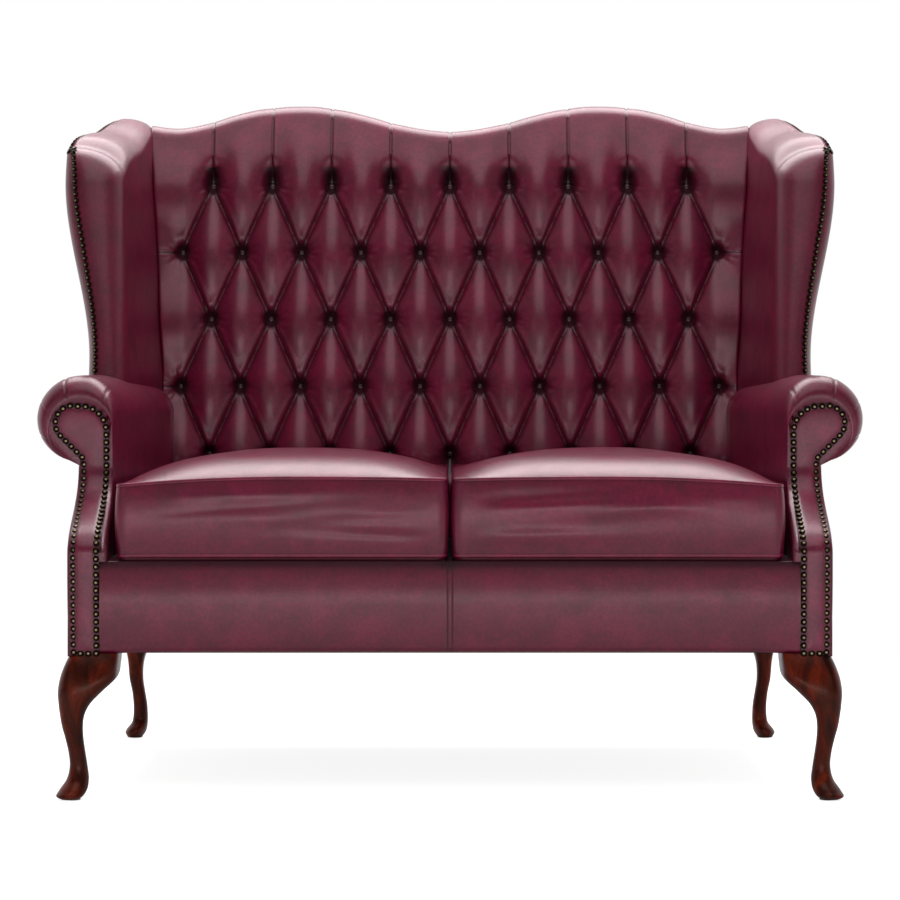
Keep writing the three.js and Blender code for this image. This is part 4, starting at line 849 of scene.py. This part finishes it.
def makeBack():
    half = int(button["across"] * tuft["perPitch"] / 2)
    inner = np.arange(-half, half + 1) / tuft["perPitch"] * button["pitch"]
    beyond = 1 - (1 - np.linspace(0, 1, 17)[1:]) ** 1.35
    sideShare = np.concatenate([-beyond[::-1], 0 * inner, beyond])[None, :]
    middle = np.concatenate([np.full(16, -outermost), inner, np.full(16, outermost)])[None, :]
    reach = np.abs(sideShare)
    lowLevels = np.linspace(settee["deckZ"], button["lowZ"], 36)[:-1]
    field = np.linspace(button["lowZ"], button["topZ"], (button["rows"] - 1) * tuft["perRow"] + 1)
    z = np.concatenate([lowLevels, field])[:, None]
    x = middle + np.sign(sideShare) * reach * (frontHalf(z) - outermost)
    z = z + 0 * x
    height, fold, pleat = tuftHeight(x, z)
    foot = eased((z - settee["deckZ"]) / 110)
    rest = mixed(165, restY(np.maximum(z, button["lowZ"])), foot)
    wobble = 1 + 0.05 * ripple(x, 0, z, 70, 3)
    y = rest - (button["rise"] * height * wobble + fold) * foot + 0.5 * radialPulls(x, z) * foot
    edge = 3 * (1 - domed((frontHalf(z) - np.abs(x)) / 5))
    lower = np.stack([x, y + edge, z], axis=-1)
    # painted shade: darker in the pleats and button wells
    paintedShadeLow = 1 - 0.95 * pleat
    # from the top row of buttons up to the roll, and over it
    topX = middle + np.sign(sideShare) * reach * (topRoll["half"] - outermost)
    crest = backCrest(topX)
    away = np.abs(topX) / button["pitch"]
    lineAway = np.abs(away - np.round(away)) * button["pitch"] + 100 * (np.abs(topX) > outermost - 20)
    crease = 1.9 * bump(lineAway, 1.5) - 0.5 * bump(lineAway - 4, 2.2)
    sink = crease + 1.2 * bump(lineAway, 16)
    start = math.radians(topRoll["start"])
    startZ = crest - topRoll["rise"] + topRoll["rise"] * math.sin(start)
    # the padding leans back more and more, and the roll takes up its slope; behind the crest it is longer
    steep = (button["topY"] - button["lowY"]) / (button["topZ"] - button["lowZ"]) + 2 * topRoll["bend"] * (startZ - button["topZ"])
    reachY = topRoll["rise"] * steep / -math.tan(start)
    topY = (restY(startZ) + topRoll["bend"] * (startZ - button["topZ"]) ** 2 - button["rise"] * tuft["fillShare"]
            - reachY * math.cos(start))
    climb = np.linspace(0, 1, 30)[1:-1][:, None]
    zUp = mixed(button["topZ"], startZ, climb)
    halfUp = mixed(frontHalf(button["topZ"]), topRoll["half"], eased(climb))
    xUp = middle + np.sign(sideShare) * reach * (halfUp - outermost)
    heightUp, foldUp, pleatShadeUp = tuftHeight(xUp, zUp)
    settled = mixed(heightUp * (1 + 0.05 * ripple(xUp, 0, zUp, 70, 3)), tuft["fillShare"], eased(climb))
    yUp = restY(zUp) + topRoll["bend"] * (zUp - button["topZ"]) ** 2 - button["rise"] * settled + (foldUp + 0.5 * radialPulls(xUp, zUp)) * (1 - climb) ** 2
    yUp = yUp + sink * eased(climb * 3) + 3.5 * bump(lineAway, 10) * bump(zUp - button["topZ"] - 8, 17)
    edgeUp = 3 * (1 - domed((halfUp - np.abs(xUp)) / 5))
    upper = np.stack([xUp, yUp + edgeUp, zUp + 0 * yUp], axis=-1)
    angles = np.radians(np.linspace(topRoll["start"], topRoll["end"], 64))[:, None]
    fading = mixed(1, 0.35, np.clip((np.radians(topRoll["start"]) - angles) / math.radians(225), 0, 1))
    loss = sink * fading + edgeLoss(topX, 3)
    inFront = angles > math.pi / 2
    rollRise = np.where(inFront, topRoll["rise"], topRoll["rearRise"])
    rollY = topY + (np.where(inFront, reachY, topRoll["rearY"] - topY) - loss) * np.cos(angles)
    rollZ = crest - rollRise + (rollRise - loss) * np.sin(angles)
    over = np.stack([topX + 0 * rollY, rollY, rollZ], axis=-1)
    lip = over[-1, :, 2]
    frameY = settee["postY"] + settee["postDepth"] / 2
    inside = np.stack([np.stack([over[-1, :, 0], frameY + rake(lip), lip], axis=-1),
                       np.stack([lower[0, :, 0], frameY + 0 * lip, lower[0, :, 2]], axis=-1)])
    sections = np.concatenate([lower, upper, over, inside])
    # painted shade: darker along the upright pleats over the roll and above the top buttons
    paintedShadeTop = np.clip(1 - 0.9 * np.exp(-lineAway / 2), 0, 1) + 0 * angles
    paintedShadeUp = np.clip(1 - 0.9 * np.exp(-lineAway / 2), 0, 1) * (1 - pleatShadeUp)
    wearAndPaintedShading = np.concatenate([paintedShadeLow, paintedShadeUp, paintedShadeTop, np.full((2, sections.shape[1]), 0.3)])
    tone = 0.66 + 0.0 * wearAndPaintedShading
    piece = ringSkin("buttoned_back_hide", sections.transpose(1, 0, 2), hide, (wearAndPaintedShading * tone).T, sharp=80)
    finished(piece, "frame", "leather", "buttoned_back")
    spots = buttonPlaces()
    lean = math.atan2(button["topY"] - button["lowY"], button["topZ"] - button["lowZ"])
    profile = [(1.0, -0.9), (1.03, -0.25), (0.97, 0.2), (0.84, 0.55), (0.62, 0.82), (0.34, 0.96), (0, 1.0)]
    shape, faces = turned([(r * button["radius"], h * button["height"]) for r, h in profile], 22)
    places = np.stack([spots[:, 0], restY(spots[:, 1]) - 1.6, spots[:, 1]], axis=1)
    directions = np.tile([0, -math.cos(lean), math.sin(lean)], (len(places), 1))
    # painted shade: the buttons are nearly black, shaded at the bottom of their wells
    buttons = scattered("back_buttons", shape, faces, places, directions, hide, 0.04)
    return finished(buttons, "frame", "leather")


def edgeLoss(x, width):
    return width * (1 - domed((topRoll["half"] - np.abs(x)) / (width * 1.5)))


def makeOutsideBack():
    gapY = 0.3
    x = np.linspace(-column, column, 150)[None, :]
    top = backCrest(x) - topRoll["rearRise"] + 6 + 6 * eased((np.abs(x) - 537) / 6)
    z = mixed(base, top, np.linspace(0, 1, 90)[:, None])
    y = settee["postY"] + settee["postDepth"] + gapY + rake(z) + 8
    grid = np.stack([x + 0 * z, y, z], axis=-1)
    piece = panelSkin("outside_back_hide", grid, np.array([0, 1.0, 0]), 8, 3, seed=51)
    return finished(piece, "frame", "leather", "outside_back")


# Seat cushions: a level outline with round corners, boxed between two piped seams, with a crowned top
cushion = {"front": -398, "rear": 140, "outerFront": 524, "outerRear": 480, "split": 1.5, "corner": 18, "lowSeam": 380,
           "topSeam": 498, "crown": 38, "bulge": 8, "draw": 4, "piping": 2.8, "wrinkle": 3.6}


def cushionOutline(count):
    corner = cushion["corner"]
    arcs = [(1, 1, 0), (-1, 1, 90), (-1, -1, 180), (1, -1, 270)]
    halfX, halfY = (cushion["outerFront"] - cushion["split"]) / 2, (cushion["rear"] - cushion["front"]) / 2
    parts = []
    for sx, sy, start in arcs:
        angles = np.radians(np.linspace(start, start + 90, 16))
        parts.append(np.stack([sx * (halfX - corner) + corner * np.cos(angles), sy * (halfY - corner) + corner * np.sin(angles)], axis=1))
    return evenSteps(np.vstack(parts), count=count, closed=True) / [halfX, halfY]


def makeCushion(sign):
    unit = cushionOutline(340)
    u, v = unit[:, 0][None, :], unit[:, 1][None, :]
    low, top = cushion["lowSeam"], cushion["topSeam"]
    piping = cushion["piping"]
    bead = np.radians(np.linspace(-90, 90, 9))
    floorZ = settee["deckZ"] + 0.4
    under = np.linspace(0, 1, 7)[:-1]
    box = np.linspace(0, 1, 52)[1:-1]
    crown = (1 - np.cos(np.linspace(0, math.pi, 74)[1:])) / 2 * 0.985
    crown = crown * 0.9 + 0.0985 * (crown / crown[-1]) ** 2
    level = np.concatenate([mixed(floorZ, low - piping, eased(under)), low + piping * np.sin(bead),
                            mixed(low + piping, top - piping, box), top + piping * np.sin(bead), np.full(len(crown), top)])[:, None]
    inset = np.concatenate([mixed(0.012, 0.004, np.sin(under * math.pi / 2)), 0 * bead, 0 * box, 0 * bead, crown])[:, None]
    beadOut = np.concatenate([0 * under, piping * np.cos(bead), 0 * box, piping * np.cos(bead), 0 * crown])[:, None]
    boxShare = np.clip((level - low) / (top - low), 0, 1)
    side = (inset < 1e-6) * (4 * boxShare * (1 - boxShare))
    halfY = (cushion["rear"] - cushion["front"]) / 2
    middleY = (cushion["rear"] + cushion["front"]) / 2
    flatX = u * (1 - inset)
    flatY = v * (1 - inset)
    y = middleY + flatY * halfY
    outer = mixed(cushion["outerFront"], cushion["outerRear"], np.clip((y - cushion["front"]) / (2 * halfY), 0, 1))
    halfX = (outer - cushion["split"]) / 2
    x = (outer + cushion["split"]) / 2 + flatX * halfX
    # out of the side, for the bulge, the piping and the wrinkles
    way = np.stack([np.sign(u) * np.abs(u) ** 8, np.sign(v) * np.abs(v) ** 8], axis=-1)
    way = way / np.maximum(0.2, np.linalg.norm(way, axis=-1))[..., None]
    reach = 0.7 * beadOut + cushion["bulge"] * (side ** 0.85 - 1) - cushion["draw"] * (1 - (np.minimum(np.abs(u), np.abs(v))) ** 2) * 0.25
    z = level + 0 * x
    along = x
    frontFace = bumpLines(along, z, 61 if sign > 0 else 67) * (v < -0.9) * eased((x - 22) / 70) * eased((500 - x) / 70)
    reach = reach + cushion["wrinkle"] * frontFace * side * (1 + 0 * u)
    reach = reach - 1.6 * np.exp(-np.abs(z - low) / 5) * side - 1.6 * np.exp(-np.abs(z - top) / 5) * side
    x = x + way[..., 0] * reach * mixed(0.4, 1, np.abs(way[..., 1]) ** 4)
    y = y + way[..., 1] * reach
    # the crown: (1 - a^n)(1 - b^n) of the shares a across and b along, with n larger towards the front
    steeper = mixed(2.5, 4.6, eased(-flatY / 0.75))
    rise = (1 - np.abs(flatX) ** steeper) * (1 - np.abs(flatY) ** steeper)
    bow = 3.2 - 12 * ((x - 250) / 262) ** 2 * np.where(x > 250, 1, 0.28)
    soft = ripple(x, y, 0, 95, 71 + sign) * 2.2 * np.clip(inset * 4, 0, 1)
    z = z + (cushion["crown"] * rise + soft) * (inset > 0) * (level >= top - 1e-6) + bow * np.clip((level - low) / (top - low), 0, 1)
    seamDip = 1.6 * np.exp(-inset * halfX / 5) * (level >= top - 1e-6) * (inset > 1e-6)
    z = z - seamDip
    rings = np.stack([x, y, z], axis=-1) * [sign, 1, 1]
    onBead = beadOut > 0.5
    # painted shade beside both seams and on the underside below the lower piping; painted highlight on the piping beads
    # and on wrinkles that stand out, painted shade on those that sink
    wearAndPaintedShading = 0.72 - 0.45 * np.exp(-np.abs(level - low) / 4) * ~onBead - 0.35 * np.exp(-np.abs(level - top) / 3) * ~onBead * (inset < 1e-6)
    wearAndPaintedShading = wearAndPaintedShading + 0.28 * onBead - 0.4 * (level < low - 4)
    wearAndPaintedShading = wearAndPaintedShading + 0.15 * frontFace * side + 0 * x
    name = sideName(sign)
    piece = ringSkin(f"{name}_seat_cushion_hide", rings, hide, np.clip(wearAndPaintedShading, 0, 1), sharp=75)
    return finished(piece, f"{name}_cushion", "leather", f"{name}_seat_cushion")


# Long shallow wrinkles across a face: a few ridges of random place, length and lean, the same each run
def bumpLines(x, z, seed, count=9):
    draw = np.random.default_rng(seed)
    total = 0 * x + 0 * z
    for _ in range(count):
        cx, cz = draw.uniform(60, 470), draw.uniform(402, 478)
        length, width = draw.uniform(60, 170), draw.uniform(7, 15)
        lean, strength = draw.normal(0, 0.05), draw.uniform(-0.8, 1)
        total = total + strength * bump(x - cx, length) * bump(z - cz - lean * (x - cx), width)
    return total


# Front border: a padded strip whose face swells to the front, rolls in at its top and has a double-stitched middle seam
border = {"halfX": 544.7, "top": 371.1, "backY": -380, "faceOut": 20, "lift": 2.2, "drop": 4.2, "seamAway": 3.7, "stitch": 3.4,
          "places": [0, 0.03, 0.09, 0.2, 0.34, 0.47, 0.57, 0.67, 0.78, 0.88, 0.95, 1.0],
          "outShares": [0.6, 0.79, 0.92, 1.04, 1.12, 1.155, 1.16, 1.12, 1.02, 0.9, 0.8, 0.7]}


def borderFace(x, up):
    lift = border["lift"] - border["drop"] * np.abs(x / border["halfX"]) ** 10
    z = mixed(base + lift, border["top"] + 0 * x, up)
    out = smoothLine(border["places"], border["outShares"], up)[..., 0] * border["faceOut"]
    seam = 0.7 * (bump(x - border["seamAway"], 1.0) + bump(x + border["seamAway"], 1.0)) + 0.5 * bump(x, 14)
    soft = 0.9 * ripple(x * 0.35, 0, z, 42, 81)
    inField = np.clip(8 * up * (1 - up), 0, 1)
    return border["backY"] - out + (seam + soft) * inField, z, seam


def makeBorder():
    x = np.concatenate([np.linspace(-border["halfX"], -20, 150)[:-1], np.linspace(-20, 20, 57), np.linspace(20, border["halfX"], 150)[1:]])[:, None]
    up = (1 - np.cos(np.linspace(0, math.pi, 60)))[None, :] / 2
    y, z, seam = borderFace(x + 0 * up, up + 0 * x)
    face = np.stack([x + 0 * z, y, z], axis=-1)
    rearLow = np.where(z < base + 12, mixed(base - 0.2, z, np.clip((z - base) / 12, 0, 1)), z)
    behind = np.stack([x + 0 * z, 0 * y + border["backY"] + 0.5, rearLow], axis=-1)[:, ::-1]
    rings = np.concatenate([face, behind], axis=1)
    # painted shade: darker along the middle seam and over the top 26 mm, under the cushion; the hidden back is dark too
    shade = 0.68 - 0.35 * seam - 0.62 * eased((z - border["top"] + 26) / 26)
    wearAndPaintedShading = np.concatenate([np.clip(shade, 0, 1), np.full(z.shape, 0.1)], axis=1)
    piece = ringSkin("front_border_hide", rings, hide, wearAndPaintedShading, sharp=75)
    finished(piece, "frame", "leather", "front_border")
    # two rows of stitches, each a short thread lying in its groove
    count = int((border["top"] - base) * 0.93 / border["stitch"])
    up = np.linspace(0.03, 0.95, count)
    sides = np.repeat([-1, 1], count) * border["seamAway"]
    y, z, _ = borderFace(sides, np.tile(up, 2))
    slope = np.gradient(y[:count], z[:count])
    direction = np.tile(np.stack([0 * slope, slope, 1 + 0 * slope], axis=1), (2, 1))
    thread = [(0.25, -1.25), (0.5, -0.9), (0.55, 0), (0.5, 0.9), (0, 1.25)]
    shape, faces = turned(thread, 6)
    places = np.stack([sides, y - 0.35, z], axis=1)
    piece = scattered("border_stitches", shape, faces, places, direction, hide, 0.12)
    finished(piece, "frame", "leather")
    # the hide's turned end lies on the front of the deck
    deckBand = np.stack(np.meshgrid(np.linspace(-border["halfX"], border["halfX"], 60), np.linspace(-381, -300, 12), indexing="ij")
                        + [np.zeros((60, 12))], axis=-1)
    high, low = deckBand + [0, 0, settee["deckZ"] + 0.3], deckBand + [0, 0, settee["deckZ"] + 0.05]
    piece = ringSkin("deck_front_hide", np.concatenate([high, low[:, ::-1]], axis=1), hide, np.full((60, 24), 0.3), sharp=60)
    return finished(piece, "frame", "leather")


# Cabriole legs: rings up the leg, each between a circle and a square, |cos|^(2/n) and |sin|^(2/n) of the angle
frontLeg = {"size": 83, "stations": [
    [0, 0.17, 0.17, 2.2], [0.018, 0.25, 0.24, 2.2], [0.057, 0.21, 0.31, 2], [0.128, 0.08, 0.34, 2],
    [0.218, 0.02, 0.315, 2.1], [0.312, 0.035, 0.28, 2.2], [0.415, 0.09, 0.25, 2.3], [0.505, 0.15, 0.245, 2.4],
    [0.585, 0.185, 0.28, 2.5], [0.656, 0.21, 0.386, 2.8], [0.736, 0.23, 0.6, 3.0], [0.826, 0.2, 0.85, 3.6],
    [0.92, 0.108, 0.9, 4.6], [1, 0, 0.91, 5.5]]}
backLeg = {"size": 72, "middleY": 268, "stations": [
    [0, -0.12, 0.49, 2, 0.47], [0.034, -0.06, 0.57, 2, 0.5], [0.06, -0.095, 0.6, 2, 0.49], [0.115, -0.23, 0.63, 2.1, 0.45],
    [0.185, -0.275, 0.635, 2.2, 0.42], [0.262, -0.28, 0.625, 2.4, 0.39], [0.37, -0.255, 0.58, 2.6, 0.32],
    [0.47, -0.205, 0.545, 3, 0.24], [0.62, -0.18, 0.58, 3.5, 0.14], [0.76, -0.12, 0.74, 4.5, 0.06],
    [0.88, -0.07, 0.93, 6, 0.02], [1, 0, 0.97, 8, 0]]}


def makeLeg(sign, end):
    leg = frontLeg if end == "front" else backLeg
    table = np.array(leg["stations"], float)
    up = mixed(0, 1, (1 - np.cos(np.linspace(0, math.pi, 130))) / 2)
    rows = smoothLine(table[:, 0], table[:, 1:], up)
    outer, inner, square = rows[:, 0:1], rows[:, 1:2], rows[:, 2:3]
    low, high = mmBox(f"right_{end}_leg")
    middleX = column + leg["size"] * (outer - inner) / 2
    half = leg["size"] * (outer + inner) / 2
    middleY = column + front - middleX if end == "front" else leg["middleY"] + leg["size"] * rows[:, 3:4]
    angles = np.linspace(0, 2 * math.pi, 56, endpoint=False)[None, :]
    ringX = np.sign(np.cos(angles)) * np.abs(np.cos(angles)) ** (2 / square)
    ringY = np.sign(np.sin(angles)) * np.abs(np.sin(angles)) ** (2 / square)
    z = mixed(max(1.2, low[2] - 3), high[2], up)[:, None] + 0 * ringX    # the foot comes down round its glide
    longer = 1 + (0.5 * (1 - eased((up[:, None] - 0.06) / 0.1)) if end == "back" else 0)
    rings = np.stack([(middleX + half * ringX) * sign, middleY + half * longer * ringY, z], axis=-1)
    name = sideName(sign)
    piece = ringSkin(f"{name}_{end}_leg_wood", rings, legWood, sharp=60)
    return finished(piece, "frame", "mahogany", f"{name}_{end}_leg")


for sign in (1, -1):
    makeFacing(sign)
    makeFacingNails(sign)
    makeArmPad(sign)
    makeOutsideArm(sign)
    makeWingPad(sign)
    makeOutsideWing(sign)
    makeCushion(sign)
    makeLeg(sign, "front")
    makeLeg(sign, "back")
    print("made the", sideName(sign), "side")
makeBack()
makeOutsideBack()
makeBorder()
print("back and border made")

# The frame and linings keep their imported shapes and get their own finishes
beeches = [makeBeech(axis) for axis in range(3)]
steel, nylon = makeSteel(), makeNylon()
jute = makeCloth("wovenJute", "#5e4f31", "#a08a5e", 2.4, 0.95, 0.0008)
deckCloth = makeCloth("blackLiningCloth", "#151414", "#2a2828", 1.2, 0.9, 0.0003)
dustCloth = makeCloth("spunBlackCloth", "#0e0e10", "#1d1d20", 1.6, 0.95, 0.0002)
grainAxis = {"front_rail": 0, "back_rail": 0, "top_rail": 0, "tuck_rail": 0, "side_rail": 1, "arm_rail": 1, "brace": 1}
for node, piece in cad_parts.items():
    if piece.hide_render:
        continue
    axis = next((a for word, a in grainAxis.items() if word in node), 2)
    finish = (steel if "spring" in node or "bolt" in node else nylon if "glide" in node else jute if "webbing" in node
              else deckCloth if "deck" in node else dustCloth if "dust" in node else beeches[axis])
    piece.data.materials.clear()
    piece.data.materials.append(finish)
print("frame finished")
